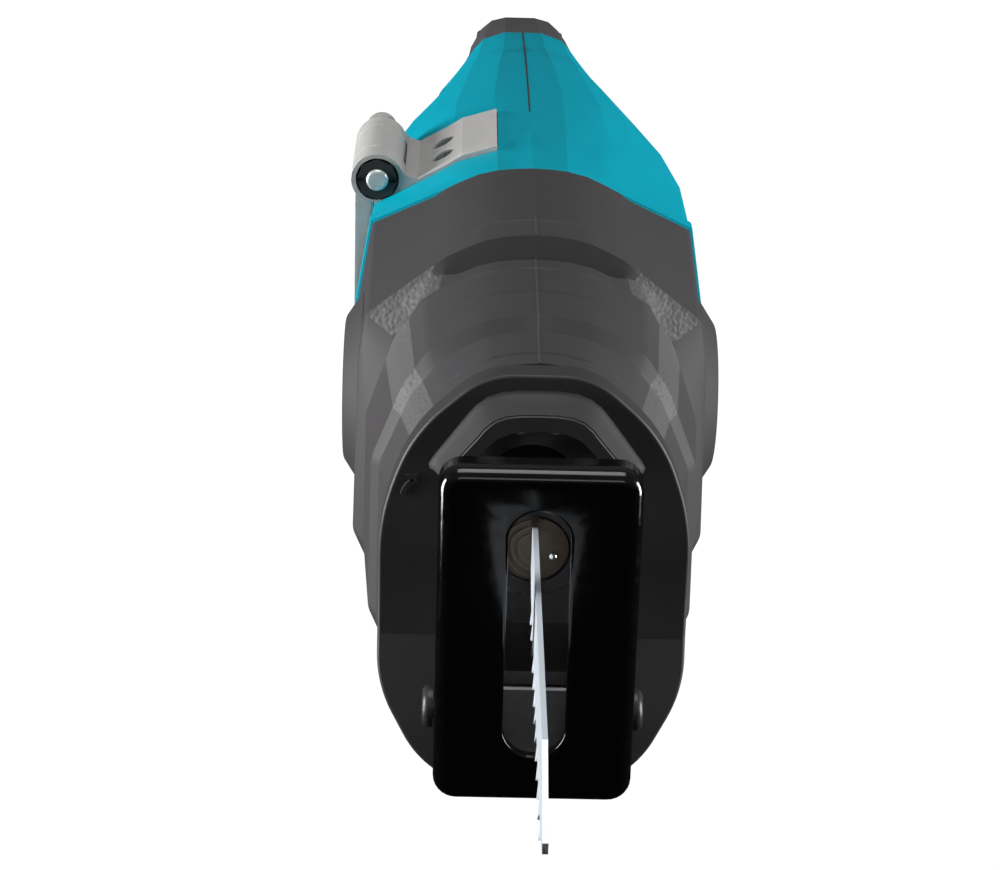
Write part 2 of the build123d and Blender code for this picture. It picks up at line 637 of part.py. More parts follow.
def shell_inside():
    """What is hollow in the clamshell."""
    skin(BODY, BOOT_BACK - 1, 302, WALL, mode=Mode.SUBTRACT)
    skin(TOP_BAR, 300, 395, WALL, mode=Mode.SUBTRACT)
    grip_column(WALL + RUBBER, mode=Mode.SUBTRACT)
    block((-13, 290, -69), (13, 335, -52), mode=Mode.SUBTRACT)
    block((-27, 330, FOOT_BOTTOM + WALL), (27, 428, -56), mode=Mode.SUBTRACT)
    block((-21, 340, -58), (21, 424, FOOT_TOP - WALL), mode=Mode.SUBTRACT)
    block((-11.6, 366, -24), (11.6, 392, 22), mode=Mode.SUBTRACT)
    rod_x(LOCK_Y, LOCK_Z, 4.5 + GAP, -40, 40, mode=Mode.SUBTRACT)


def vents():
    """Air slots past the fan on both sides, and a row of inlets by the motor's front."""
    for y in VENT_ROWS:
        block((-60, y, -36), (60, y + 2.8, -6), mode=Mode.SUBTRACT)
    for i in range(4):
        block((-60, 214, 2 + 6 * i), (60, 236, 4.4 + 6 * i), mode=Mode.SUBTRACT)


def rubber_zone(mode):
    """The handle's grip surface: top corner, grip and its lower end, as a thick slab to cut with."""
    outline = [(RUBBER_START, 70), (RUBBER_START, 24), (366, 24), (366, -45), (440, -45), (440, 70)]
    return side_profile(outline, 40, mode=mode)


def handle_skin(inset, mode=Mode.ADD):
    """The handle's outer surface, pulled in by inset."""
    skin(TOP_BAR, RUBBER_START - 6, 398 - inset, inset, mode=mode)
    grip_column(inset, mode=mode)


def shell_half(side):
    """One clamshell half: side is 1 for +X and -1 for -X."""
    with BuildPart() as grip_layer:
        handle_skin(0)
        rubber_zone(Mode.INTERSECT)
        handle_skin(RUBBER, mode=Mode.SUBTRACT)
    with BuildPart() as body:
        shell_outside()
        shell_inside()
        vents()
        add(grip_layer.part, mode=Mode.SUBTRACT)
        block((-100 * max(side, 0), 100, -200), (100 * max(-side, 0), 500, 200), mode=Mode.SUBTRACT)
        for y, z, reach in BOSSES:
            rod_x(y, z, 5.0, *sorted((0, side * reach)))
            rod_x(y, z, 1.7, -60, 60, mode=Mode.SUBTRACT)
            if side < 0:
                rod_x(y, z, 3.7, -60, -reach + 2.5, mode=Mode.SUBTRACT)
        if side < 0:
            hook_recess()
    return body.part


def hook_band(depths, y0, y1, near, reach=0.0, mode=Mode.ADD):
    """A strip over the housing's top corner on the hook's side, between two depths under the surface."""
    layers = []
    for depth in depths:
        layer = [(-x + 0.45 * depth, z - depth) for x, z in HOOK_PLATE]
        layer[0] = (-near, layer[0][1])
        layer[-1] = (layer[-1][0] - reach, layer[-1][1] - reach)
        layers.append(layer)
    return front_profile([*layers[0], *reversed(layers[1])], y0, y1, mode=mode)


def hook_recess():
    """Backing wall, seat and pocket that the hook folds into."""
    block((-44.0, 183.5, -37), (-40.2, 246, 38))
    hook_band((1.5, 6.5), HOOK_FRONT - 1.5, HOOK_BACK + 2, 7.0)
    hook_band((-6, 2.9), HOOK_FRONT - FIT, HOOK_BACK + FIT, 9.4, reach=0.4, mode=Mode.SUBTRACT)
    block((-60, 185, -34), (-43.9, 211, 70), mode=Mode.SUBTRACT)
    block((-60, 205, -34), (-43.9, 244, -12), mode=Mode.SUBTRACT)
    rod_y(HOOK_X, HOOK_Z, 8.2, HOOK_FRONT - FIT, HOOK_BACK + FIT, mode=Mode.SUBTRACT)


def housing_left():
    return keep(shell_half(1), "housing_left")


def housing_right():
    return keep(shell_half(-1), "housing_right")


def grip_rubber(side, name):
    with BuildPart() as body:
        handle_skin(0)
        rubber_zone(Mode.INTERSECT)
        handle_skin(RUBBER, mode=Mode.SUBTRACT)
        block((-11.6, 360, -24), (11.6, 392, 22), mode=Mode.SUBTRACT)
        rod_x(LOCK_Y, LOCK_Z, 4.5 + GAP, -40, 40, mode=Mode.SUBTRACT)
        block((-100 * max(side, 0), 100, -200), (100 * max(-side, 0), 500, 200), mode=Mode.SUBTRACT)
        for y, z, _ in BOSSES:
            if y > RUBBER_START - 6 and z > -46:
                rod_x(y, z, 3.7, *sorted((0, side * 60)), mode=Mode.SUBTRACT)
    return keep(body.part, name)


def housing_screws():
    with BuildPart() as body:
        for y, z, reach in BOSSES:
            rod_x(y, z, 1.6, -reach + 2, 9)
            rod_x(y, z, 3.5, -reach, -reach + 2.4)
            block((-reach - 1, y - 0.5, z - 2.2), (-reach + 1.2, y + 0.5, z + 2.2), mode=Mode.SUBTRACT)
            block((-reach - 1, y - 2.2, z - 0.5), (-reach + 1.2, y + 2.2, z + 0.5), mode=Mode.SUBTRACT)
    return keep(body.part, "housing_screws")


# Controls and electronics
def trigger():
    with BuildPart() as body:
        outline = [(359, 19.5), (366, 21), (380, 21), (380, -23), (372, -23), (366, -19), (362.5, -4)]
        side_profile(outline, 10.8)
        fillet(body.edges().filter_by(Axis.Z, reverse=True).group_by(Axis.Y)[0], 1.0)
        rod_y(0, TRIGGER_SPRING_Z, 4.3, 372.5, 381, mode=Mode.SUBTRACT)
    return keep(body.part, "trigger")


def switch_body():
    with BuildPart() as body:
        block((-9, 389, -24), (9, 407, 18))
        rod_y(0, 4, 2, 388, 389)
    return keep(body.part, "switch_body")


def lock_off_button():
    with BuildPart() as body:
        rod_x(LOCK_Y, LOCK_Z, 4.5, -18.6, 18.6)
        rod_x(LOCK_Y, LOCK_Z, 6, -3, 3, mode=Mode.SUBTRACT)
        rod_x(LOCK_Y, LOCK_Z, 3, -3.5, 3.5)
        fillet(body.faces().sort_by(Axis.X)[-1].edges(), 1.2)
        fillet(body.faces().sort_by(Axis.X)[0].edges(), 1.2)
    return keep(body.part, "lock_off_button")


def controller():
    """Speed control board in its finned tray, above the motor."""
    with BuildPart() as body:
        block((-22, 204, 13), (22, 276, 17))
        block((-19, 208, 17), (19, 272, 26))
        for i in range(8):
            block((-18, 211 + 8 * i, 26), (18, 213.5 + 8 * i, 36))
    return keep(body.part, "controller")


def motor_mount():
    """Rear bearing holder across the clamshell."""
    with BuildPart() as body:
        rod_y(0, MOTOR_Z, 14, 267, 276)
        block((-33, 268, MOTOR_Z - 3), (33, 275, MOTOR_Z + 3))
        rod_y(0, MOTOR_Z, 11 + FIT, 266, 275, mode=Mode.SUBTRACT)
        rod_y(0, MOTOR_Z, 6, 266, 280, mode=Mode.SUBTRACT)
    return keep(body.part, "motor_mount")


def front_plate():
    """Plate that closes the crankcase and holds the motor's front bearing."""
    with BuildPart() as body:
        skin(BODY, 177, 188, WALL + 1)
        rod_y(0, MOTOR_Z, 13 + FIT, 178.5, 190, mode=Mode.SUBTRACT)
        rod_y(0, MOTOR_Z, 7, 170, 190, mode=Mode.SUBTRACT)
        block((-60, 170, -38), (-39.8, 190, 60), mode=Mode.SUBTRACT)
        block((-60, 170, 30), (60, 190, 70), mode=Mode.SUBTRACT)
    return keep(body.part, "front_plate")


def hook_bracket():
    """Cast strap over the housing's corner, with the two hinge knuckles and two screw seats."""
    with BuildPart() as body:
        front_profile(HOOK_STRAP, HOOK_FRONT, HOOK_BACK)
        rod_y(HOOK_X, HOOK_Z, HOOK_BARREL, HOOK_FRONT, HOOK_BACK)
        rod_y(HOOK_X, HOOK_Z, 3.2, HOOK_FRONT - 1, HOOK_BACK + 1, mode=Mode.SUBTRACT)
        rod_y(HOOK_X, HOOK_Z, 6.0, HOOK_FRONT - 1, HOOK_FRONT + 4.5, mode=Mode.SUBTRACT)
        rod_y(HOOK_X, HOOK_Z, HOOK_BARREL + 0.5, 186.9, 208.1, mode=Mode.SUBTRACT)
        block((-60, HOOK_FRONT - 1, 20), (-43.6, HOOK_BACK + 1, 43.5), mode=Mode.SUBTRACT)
        for seat in hook_seats():
            with Locations(seat):
                Cylinder(1.9, 12, mode=Mode.SUBTRACT)
                Cylinder(3.6, 6, align=(Align.CENTER, Align.CENTER, Align.MIN), mode=Mode.SUBTRACT)
    return keep(body.part, "hook_bracket")


def hook_seats():
    """The two screw seats, square to the strap's sloping facet."""
    (x0, z0), (x1, z1) = HOOK_PLATE[1:3]
    normal = (z1 - z0, 0, x1 - x0)
    origin = Plane(origin=(-(x0 + x1) / 2, 0, (z0 + z1) / 2), z_dir=normal).offset(-1.4).origin
    return [Plane(origin=(origin.X, y, origin.Z), x_dir=(0, 1, 0), z_dir=normal) for y in HOOK_SCREW_Y]


def hook_screws():
    with BuildPart() as body:
        for seat in hook_seats():
            with Locations(seat):
                Cylinder(3.3, 1.7, align=(Align.CENTER, Align.CENTER, Align.MIN))
            with BuildSketch(seat.offset(1.7)) as socket:
                RegularPolygon(1.6, 6)
            extrude(socket.sketch, amount=-1.2, mode=Mode.SUBTRACT)
    return keep(body.part, "hook_screws")


def hook_arm():
    """Folding hook: barrel on the hinge bolt, a flat bar down the side and a tip along the tool."""
    with BuildPart() as body:
        rod_y(HOOK_X, HOOK_Z, HOOK_BARREL, 187.2, 207.8)
        block((-49.6, 188, -31), (-44.3, 207, HOOK_Z))
        block((-49.6, 188, -31), (-44.3, 241, -15))
        rod_y(HOOK_X, HOOK_Z, 3.2, 186, 209, mode=Mode.SUBTRACT)
        fillet(body.edges().filter_by(Axis.X).group_by(Axis.Z)[0], 5)
        fillet(body.edges().filter_by(Axis.X).group_by(Axis.Y)[-1][-1:], 4)
    return keep(body.part, "hook_arm")


def hook_bolt():
    with BuildPart() as body:
        rod_y(HOOK_X, HOOK_Z, 3.1, HOOK_FRONT - 1.5, HOOK_BACK + 0.5)
        rod_y(HOOK_X, HOOK_Z, 5, HOOK_BACK + 0.3, HOOK_BACK + 4.5)
        fillet(body.faces().sort_by(Axis.Y)[-1].edges(), 2.5)
        fillet(body.faces().sort_by(Axis.Y)[0].edges(), 0.9)
    return keep(body.part, "hook_bolt")


def hook_nut():
    """Locking nut in its plastic collar, in the front knuckle."""
    with BuildPart() as body:
        with BuildSketch(at_y(HOOK_FRONT - 0.6)) as nut:
            with Locations((HOOK_X, HOOK_Z)):
                RegularPolygon(5.8, 8)
        extrude(nut.sketch, amount=-5)
        rod_y(HOOK_X, HOOK_Z, 3.2, HOOK_FRONT - 2, HOOK_FRONT + 6, mode=Mode.SUBTRACT)
        for side in (-1, 1):
            x = HOOK_X + side * 4.6
            block((x - 2, 170, HOOK_Z - 0.7), (x + 2, HOOK_FRONT + 0.6, HOOK_Z + 0.7), mode=Mode.SUBTRACT)
    return keep(body.part, "hook_nut")


# Battery
def foot_rails():
    """The tool's half of the slide mount: two lipped rails under the foot."""
    with BuildPart() as body:
        for side in (-1, 1):
            block((min(side * 30, side * 33), 330, -84.5), (max(side * 30, side * 33), 430, FOOT_BOTTOM))
            block((min(side * 26.5, side * 33), 330, -84.5), (max(side * 26.5, side * 33), 430, -81.6))
    return keep(body.part, "foot_rails")


def terminal_block():
    with BuildPart() as body:
        block((-14, 350, -80), (14, 398, FOOT_BOTTOM))
        for x in (-10, 0, 10):
            block((x - 0.5, 352, -83.5), (x + 0.5, 368, -80))
    return keep(body.part, "terminal_block")


def battery_top():
    """Lid of the pack with the T rail and the terminal groove."""
    back = BATTERY_BACK - 3
    with BuildPart() as body:
        block((-BATTERY_HALF + 2, BATTERY_FRONT, -92), (BATTERY_HALF - 2, BATTERY_BACK, -86))
        block((-26, BATTERY_FRONT, -86), (26, back, -80))
        block((-29.5, BATTERY_FRONT, -81.2), (29.5, back - 6, -75.2))
        block((-14.6, BATTERY_FRONT - 1, -84.2), (14.6, 404, -75), mode=Mode.SUBTRACT)
        block((-12, back - 16, -93), (12, BATTERY_BACK + 1, -74), mode=Mode.SUBTRACT)
    return keep(body.part, "battery_top")


def battery_case():
    """Tub of the pack, open at the top."""
    mid, length = (BATTERY_FRONT + BATTERY_BACK) / 2, BATTERY_BACK - BATTERY_FRONT
    with BuildPart() as body:
        with BuildSketch(Plane.XY.offset(BATTERY_BASE)) as base:
            with Locations((0, mid)):
                RectangleRounded(2 * BATTERY_HALF, length, 8)
        extrude(base.sketch, amount=-92 - BATTERY_BASE)
        chamfer(body.faces().sort_by(Axis.Z)[0].edges(), 3)
        block((-38, BATTERY_FRONT + 3, BATTERY_BASE + 3), (38, BATTERY_BACK - 3, -80), mode=Mode.SUBTRACT)
        for side in (-1, 1):
            for i in range(3):
                z = -104 - 6 * i
                x0, x1 = sorted((side * (BATTERY_HALF - 1.2), side * (BATTERY_HALF + 2)))
                block((x0, BATTERY_FRONT + 18, z), (x1, BATTERY_BACK - 30, z + 2.6), mode=Mode.SUBTRACT)
    return keep(body.part, "battery_case")


def battery_cells():
    """Ten cells in two layers, lying across the pack."""
    with BuildPart() as body:
        for row in range(5):
            for layer in (0, 1):
                rod_x(BATTERY_FRONT + 16.5 + 21.3 * row, BATTERY_BASE + 12.7 + 19.2 * layer, 9.2, -32.5, 32.5)
    return keep(body.part, "battery_cells")


def battery_latch():
    """Release button at the back of the pack."""
    with BuildPart() as body:
        block((-11.5, BATTERY_BACK - 14, -89.5), (11.5, BATTERY_BACK + 1.5, -84))
        block((-11.5, BATTERY_BACK - 2.5, -89.5), (11.5, BATTERY_BACK + 1.5, -79))
        block((-8, BATTERY_BACK - 14, -85), (8, BATTERY_BACK - 9, -77.5))
        fillet(body.edges().filter_by(Axis.X).group_by(Axis.Y)[-1], 1.2)
    return keep(body.part, "battery_latch")


def build():
    for make in (blade, plunger, clamp_body, clamp_pin, clamp_sleeve, plunger_bush, plunger_seal):
        make()
    coil("clamp_spring", 0, 0, 9.4, 0.9, 58.0, 59.4, 1.2)
    coil("trigger_spring", 0, TRIGGER_SPRING_Z, 3.2, 0.8, 381, 388.4, 1.8)
    for make in (guide_rails, counterweight, crank_gear, crank_pin, crank_roller, pinion, motor_shaft):
        make()
    for make in (rotor_core, motor_stator, fan, motor_mount, front_plate, controller):
        make()
    ring_bearing("gear_bearing", (0, CRANK_Y, -44.7), "z", 6 + PLAY, 13, 9)
    ring_bearing("motor_front_bearing", (0, 183.2, MOTOR_Z), "y", 3.5 + PLAY, 13, 9)
    ring_bearing("motor_rear_bearing", (0, 271, MOTOR_Z), "y", 3.5 + PLAY, 11, 7)
    for make in (gear_housing, gear_housing_cover, cover_screws, gear_boot, side_bumpers, nose_guard):
        make()
    for make in (led_board, led_lenses, shoe_plate, shoe_bar, shoe_pin, shoe_lock_button):
        make()
    for make in (housing_left, housing_right, housing_screws, trigger, switch_body):
        make()
    grip_rubber(1, "grip_left")
    grip_rubber(-1, "grip_right")
    for make in (lock_off_button, hook_bracket, hook_screws, hook_arm, hook_bolt, hook_nut):
        make()
    for make in (foot_rails, terminal_block, battery_top, battery_case, battery_cells, battery_latch):
        make()


build()
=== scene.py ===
import json
from math import cos, radians, sin

import bmesh
import bpy
from mathutils import Matrix, Vector


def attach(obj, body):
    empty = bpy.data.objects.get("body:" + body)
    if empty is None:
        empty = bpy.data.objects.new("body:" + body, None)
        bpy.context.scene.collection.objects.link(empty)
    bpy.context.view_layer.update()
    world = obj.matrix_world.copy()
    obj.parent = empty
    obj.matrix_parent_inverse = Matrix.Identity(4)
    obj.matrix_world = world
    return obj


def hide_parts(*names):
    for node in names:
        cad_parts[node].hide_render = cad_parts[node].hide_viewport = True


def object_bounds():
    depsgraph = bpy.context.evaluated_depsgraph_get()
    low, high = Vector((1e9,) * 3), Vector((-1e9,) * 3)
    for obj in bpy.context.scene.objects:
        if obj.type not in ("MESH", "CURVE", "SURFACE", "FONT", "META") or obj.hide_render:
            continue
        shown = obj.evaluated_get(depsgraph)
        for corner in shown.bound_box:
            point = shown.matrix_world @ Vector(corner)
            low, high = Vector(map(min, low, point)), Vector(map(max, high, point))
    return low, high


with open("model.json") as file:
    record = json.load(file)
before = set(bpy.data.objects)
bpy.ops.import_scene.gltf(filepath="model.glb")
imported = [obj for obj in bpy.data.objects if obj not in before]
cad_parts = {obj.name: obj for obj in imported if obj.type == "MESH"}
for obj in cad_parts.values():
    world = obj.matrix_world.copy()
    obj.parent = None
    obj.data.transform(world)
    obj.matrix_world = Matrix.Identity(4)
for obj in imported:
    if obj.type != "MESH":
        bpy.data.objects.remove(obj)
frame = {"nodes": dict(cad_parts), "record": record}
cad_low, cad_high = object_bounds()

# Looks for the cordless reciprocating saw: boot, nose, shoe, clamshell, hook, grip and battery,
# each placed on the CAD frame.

NODES = frame["nodes"]
MM = 0.001  # the script's sizes are millimetres


# Camera, floor and light
LENS = 101.8
CAMERA_PLACE = (-19.8, -582.3, 280.7)
CAMERA_TURN = (68.01, -1.51, -0.38)  # degrees
SKY_FADE = {"From Min": -0.05, "From Max": 0.55, "To Min": 0.015, "To Max": 0.16}  # brightness by height
SOFTBOXES = {  # place, aim and size in metres, and power in watts
    "top_box": ((0, 0.15, 1.35), (0, 0.15, 0), (0.9, 0.8), 10),
    "left_box": ((-1.0, 0.0, 0.02), (0, 0.1, 0), (0.3, 0.7), 30),
    "right_box": ((1.0, 0.0, 0.06), (0, 0.1, 0), (0.3, 0.7), 22),
    "front_box": ((0, -1.5, 0.9), (0, 0, 0), (0.9, 0.3), 1.8),
}
FLOOR_HALF, FLOOR_GAP, FLOOR_GLOW = 6, 0.0002, 1.05  # metres, metres, brightness


def place_camera():
    data = bpy.data.cameras.new("camera")
    data.lens = LENS
    data.clip_end = 20
    camera = bpy.data.objects.new("camera", data)
    bpy.context.scene.collection.objects.link(camera)
    camera.location = Vector(CAMERA_PLACE) * MM
    camera.rotation_euler = [radians(a) for a in CAMERA_TURN]
    bpy.context.scene.camera = camera


def softbox(name, place, aim, size, power):
    data = bpy.data.lights.new(name, "AREA")
    data.shape = "RECTANGLE"
    data.size, data.size_y = size
    data.energy = power
    lamp = bpy.data.objects.new(name, data)
    bpy.context.scene.collection.objects.link(lamp)
    lamp.location = place
    lamp.rotation_euler = (Vector(aim) - Vector(place)).to_track_quat("-Z", "Y").to_euler()


def light_studio():
    """A studio that is bright overhead and dark below, with boxes above, in front and at both sides."""
    world = bpy.data.worlds.new("studio")
    world.use_nodes = True
    tree = world.node_tree
    up = tree.nodes.new("ShaderNodeSeparateXYZ")
    fade = tree.nodes.new("ShaderNodeMapRange")
    for label, value in SKY_FADE.items():
        fade.inputs[label].default_value = value
    tree.links.new(tree.nodes.new("ShaderNodeTexCoord").outputs["Generated"], up.inputs[0])
    tree.links.new(up.outputs["Z"], fade.inputs["Value"])
    tree.links.new(fade.outputs["Result"], tree.nodes["Background"].inputs["Strength"])
    tree.nodes["Background"].inputs["Color"].default_value = (1, 1, 1, 1)
    bpy.context.scene.world = world
    bpy.context.scene.view_settings.view_transform = "Standard"
    for name, settings in SOFTBOXES.items():
        softbox(name, *settings)


def lay_floor():
    """A lit white table, kept out of the tool's reflections and its indirect light."""
    mesh = bmesh.new()
    bmesh.ops.create_grid(mesh, x_segments=1, y_segments=1, size=FLOOR_HALF)
    bmesh.ops.translate(mesh, verts=mesh.verts, vec=(0, 0, cad_low.z - FLOOR_GAP))
    floor = finished_object("studio_floor", mesh)
    paint = bpy.data.materials.new("studio_white")
    paint.use_nodes = True
    shader = paint.node_tree.nodes["Principled BSDF"]
    shader.inputs["Base Color"].default_value = (0.0, 0.0, 0.0, 1)
    shader.inputs["Specular IOR Level"].default_value = 0.0
    shader.inputs["Emission Color"].default_value = (1, 1, 1, 1)
    shader.inputs["Emission Strength"].default_value = FLOOR_GLOW
    floor.data.materials.append(paint)
    floor.visible_glossy = False
    floor.visible_diffuse = False


# Mesh helpers
def finished_object(name, mesh, smooth=None):
    """Turns a bmesh into an object; edges flatter than the smooth angle are shaded round."""
    data = bpy.data.meshes.new(name)
    mesh.to_mesh(data)
    mesh.free()
    made = bpy.data.objects.new(name, data)
    bpy.context.scene.collection.objects.link(made)
    if smooth is not None:
        data.shade_smooth()
        data.set_sharp_from_angle(angle=radians(smooth))
    return made


def fit(made, body, material, *nodes, slot=None):
    """Gives a piece its body, finish and the CAD nodes it stands for."""
    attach(made, body)
    if nodes:
        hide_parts(*nodes)
        slot = slot or SLOT_OF[nodes[0]]
    if not made.data.materials:
        made.data.materials.append(material)
    return made


def outline(mesh, points):
    """A closed loop of edges through points in millimetres."""
    corners = [mesh.verts.new(Vector(point) * MM) for point in points]
    return [mesh.edges.new(pair) for pair in zip(corners, corners[1:] + corners[:1])]


def skinned(mesh, loops):
    """Faces from each loop of edges to the next."""
    for near, far in zip(loops, loops[1:]):
        bmesh.ops.bridge_loops(mesh, edges=near + far)


def capped(mesh, loop):
    bmesh.ops.edgeloop_fill(mesh, edges=loop)


def mirrored(half):
    """A whole outline from its half at +X; points on the middle line are kept once."""
    return [*half, *[(-x, z) for x, z in reversed(half) if x > 0.01]]


def mirrored_ring(half):
    """A closed ring from its half at +X that starts and ends on the middle line."""
    return [*half, *[(-x, z) for x, z in reversed(half[1:-1])]]


def at_y(y, points):
    return [(x, y, z) for x, z in points]


def mixed(a, b, share):
    """The point a share of the way from a to b."""
    return tuple(p + (q - p) * share for p, q in zip(a, b))


def between(table, y):
    """The half outline at y, in a straight line between its neighbours in a table of stations."""
    low = max(station for station in table if station <= y)
    high = min(station for station in table if station >= y)
    share = (y - low) / (high - low) if high > low else 0.0
    return [mixed(a, b, share) for a, b in zip(table[low], table[high])]


def rounded(mesh, edges, width, segments=3):
    bmesh.ops.bevel(mesh, geom=edges, offset=width * MM, offset_type="OFFSET", segments=segments,
                    profile=0.5, affect="EDGES", clamp_overlap=True, material=-1)


def lengthways(mesh, least):
    """The edges that run along Y where the skin turns by more than an angle in degrees."""
    found = []
    for edge in mesh.edges:
        run = edge.verts[1].co - edge.verts[0].co
        inside, along = len(edge.link_faces) == 2, abs(run.y) > 0.5 * run.length
        if inside and along and edge.calc_face_angle(0) > radians(least):
            found.append(edge)
    return found


TURN_TO = {"x": Matrix.Rotation(radians(90), 4, "Y"), "y": Matrix.Rotation(radians(-90), 4, "X")}


def drum(mesh, centre, axis, radius, length, segments=32, tip=None):
    """A closed round bar along X or Y, its middle at centre; a tip radius makes it a cone."""
    place = Matrix.Translation(Vector(centre) * MM) @ TURN_TO[axis]
    far = radius if tip is None else tip
    bmesh.ops.create_cone(mesh, cap_ends=True, segments=segments, radius1=radius * MM, radius2=far * MM,
                          depth=length * MM, matrix=place)


def slab(mesh, low, high):
    """A box between two opposite corners."""
    middle = [(a + b) / 2 * MM for a, b in zip(low, high)]
    size = [(b - a) * MM for a, b in zip(low, high)]
    place = Matrix.Translation(middle) @ Matrix.Diagonal((*size, 1))
    return bmesh.ops.create_cube(mesh, size=1, matrix=place)["verts"]


def rounding_modifier(made, width, segments, method):
    rounding = made.modifiers.new("rounded_edges", "BEVEL")
    rounding.width = width * MM
    rounding.segments = segments
    rounding.limit_method = method
    rounding.harden_normals = True
    rounding.miter_outer = "MITER_ARC"
    return rounding


def eased(made, width, least=20, segments=3):
    """Rounds every edge that turns by more than an angle in degrees."""
    rounding_modifier(made, width, segments, "ANGLE").angle_limit = radians(least)
    return made


WELD = 0.004  # points this close are one
STEP_WAS, STEP_NOW, STEP_LENGTH = 103, 107, 7  # the casting's step along Y, moved to stay under the boot
STEP_REACH, CROWN_SHRINK = 30, 0.94  # what is farther out than this moves, and the crown is pulled in


def steepened(mesh):
    """Moves the front edge of the casting's step back and pulls its crown in."""
    ring = [v for v in mesh.verts
            if abs(v.co.y - STEP_WAS * MM) < 0.05 * MM and v.co.xz.length > STEP_REACH * MM]
    bmesh.ops.translate(mesh, verts=ring, vec=(0, (STEP_NOW - STEP_WAS) * MM, 0))
    crown = [v for v in mesh.verts
             if STEP_WAS - 1 < v.co.y / MM < STEP_WAS + STEP_LENGTH and v.co.z > STEP_REACH * MM]
    bmesh.ops.scale(mesh, verts=crown, vec=(CROWN_SHRINK, 1, CROWN_SHRINK))


def softened(node, width, least=14, flat=0.4, closed=None, steepen=False):
    """A copy of a CAD node with its edges rounded, except those that closed says meet another piece.

    Facets that turn by less than flat, in degrees, are joined first."""
    mesh = bmesh.new()
    mesh.from_mesh(NODES[node].data)
    bmesh.ops.remove_doubles(mesh, verts=mesh.verts, dist=WELD * MM)
    if steepen:
        steepened(mesh)
    if flat:
        bmesh.ops.dissolve_limit(mesh, angle_limit=radians(flat), verts=mesh.verts, edges=mesh.edges)
    weight = mesh.edges.layers.float.new("bevel_weight_edge")
    for edge in mesh.edges:
        middle = (edge.verts[0].co + edge.verts[1].co) / 2 / MM
        kept = closed is not None and closed(middle)
        if len(edge.link_faces) == 2 and edge.calc_face_angle(0) > radians(least) and not kept:
            edge[weight] = 1.0
    made = finished_object("soft_" + node, mesh, smooth=30)
    rounding_modifier(made, width, 3, "WEIGHT")
    return made


# Shader groups
PER_METRE = 1000  # turns features per millimetre into features per metre
CLOUD_SCALE, GLOSS_DRIFT, SHADE_CHANGE = 28, 0.12, 0.08
SCRATCH_SCALE, SCRATCH_DRIFT = 400, 0.3
STIPPLE_HEIGHT, COAT_ROUGHNESS = 0.25, 0.08


def new_group(name, inputs, outputs):
    tree = bpy.data.node_groups.new(name, "ShaderNodeTree")
    for label, kind, value in inputs:
        socket = tree.interface.new_socket(name=label, in_out="INPUT", socket_type=kind)
        socket.default_value = value
    for label, kind in outputs:
        tree.interface.new_socket(name=label, in_out="OUTPUT", socket_type=kind)
    return tree, tree.nodes.new("NodeGroupInput"), tree.nodes.new("NodeGroupOutput")


def math_node(tree, kind, first, second):
    node = tree.nodes.new("ShaderNodeMath")
    node.operation = kind
    for socket, value in zip(node.inputs, (first, second)):
        if isinstance(value, (int, float)):
            socket.default_value = value
        else:
            tree.links.new(value, socket)
    return node.outputs[0]


def moulded_surface():
    """Fine grain with slow changes of shade and gloss, as moulded plastic and rubber have."""
    tree, given, result = new_group(
        "moulded_surface",
        [("Color", "NodeSocketColor", (0.5, 0.5, 0.5, 1)), ("Roughness", "NodeSocketFloat", 0.5),
         ("Grain per mm", "NodeSocketFloat", 2.0), ("Shade change", "NodeSocketFloat", 0.05)],
        [("Color", "NodeSocketColor"), ("Roughness", "NodeSocketFloat"), ("Height", "NodeSocketFloat")])
    place = tree.nodes.new("ShaderNodeTexCoord").outputs["Object"]
    grain = tree.nodes.new("ShaderNodeTexNoise")
    grain.inputs["Detail"].default_value = 3
    tree.links.new(place, grain.inputs["Vector"])
    tree.links.new(math_node(tree, "MULTIPLY", given.outputs["Grain per mm"], PER_METRE),
                   grain.inputs["Scale"])
    cloud = tree.nodes.new("ShaderNodeTexNoise")
    cloud.inputs["Scale"].default_value = CLOUD_SCALE
    cloud.inputs["Detail"].default_value = 4
    tree.links.new(place, cloud.inputs["Vector"])
    drift = math_node(tree, "SUBTRACT", cloud.outputs[0], 0.5)
    change = math_node(tree, "MULTIPLY", drift, given.outputs["Shade change"])
    shade = math_node(tree, "ADD", change, 1.0)
    tint = tree.nodes.new("ShaderNodeVectorMath")
    tint.operation = "SCALE"
    tree.links.new(given.outputs["Color"], tint.inputs[0])
    tree.links.new(shade, tint.inputs["Scale"])
    tree.links.new(tint.outputs[0], result.inputs["Color"])
    gloss = math_node(tree, "ADD", math_node(tree, "MULTIPLY", drift, GLOSS_DRIFT),
                      given.outputs["Roughness"])
    tree.links.new(gloss, result.inputs["Roughness"])
    tree.links.new(grain.outputs[0], result.inputs["Height"])
    return tree


def stippled_surface():
    """Close-set raised dots, as on grip patches."""
    tree, given, result = new_group(
        "stippled_surface", [("Dots per mm", "NodeSocketFloat", 1.0)], [("Height", "NodeSocketFloat")])
    place = tree.nodes.new("ShaderNodeTexCoord").outputs["Object"]
    dots = tree.nodes.new("ShaderNodeTexVoronoi")
    dots.feature = "SMOOTH_F1"
    tree.links.new(place, dots.inputs["Vector"])
    tree.links.new(math_node(tree, "MULTIPLY", given.outputs["Dots per mm"], PER_METRE),
                   dots.inputs["Scale"])
    raised = math_node(tree, "SUBTRACT", 1.0, dots.outputs["Distance"])
    tree.links.new(raised, result.inputs["Height"])
    return tree


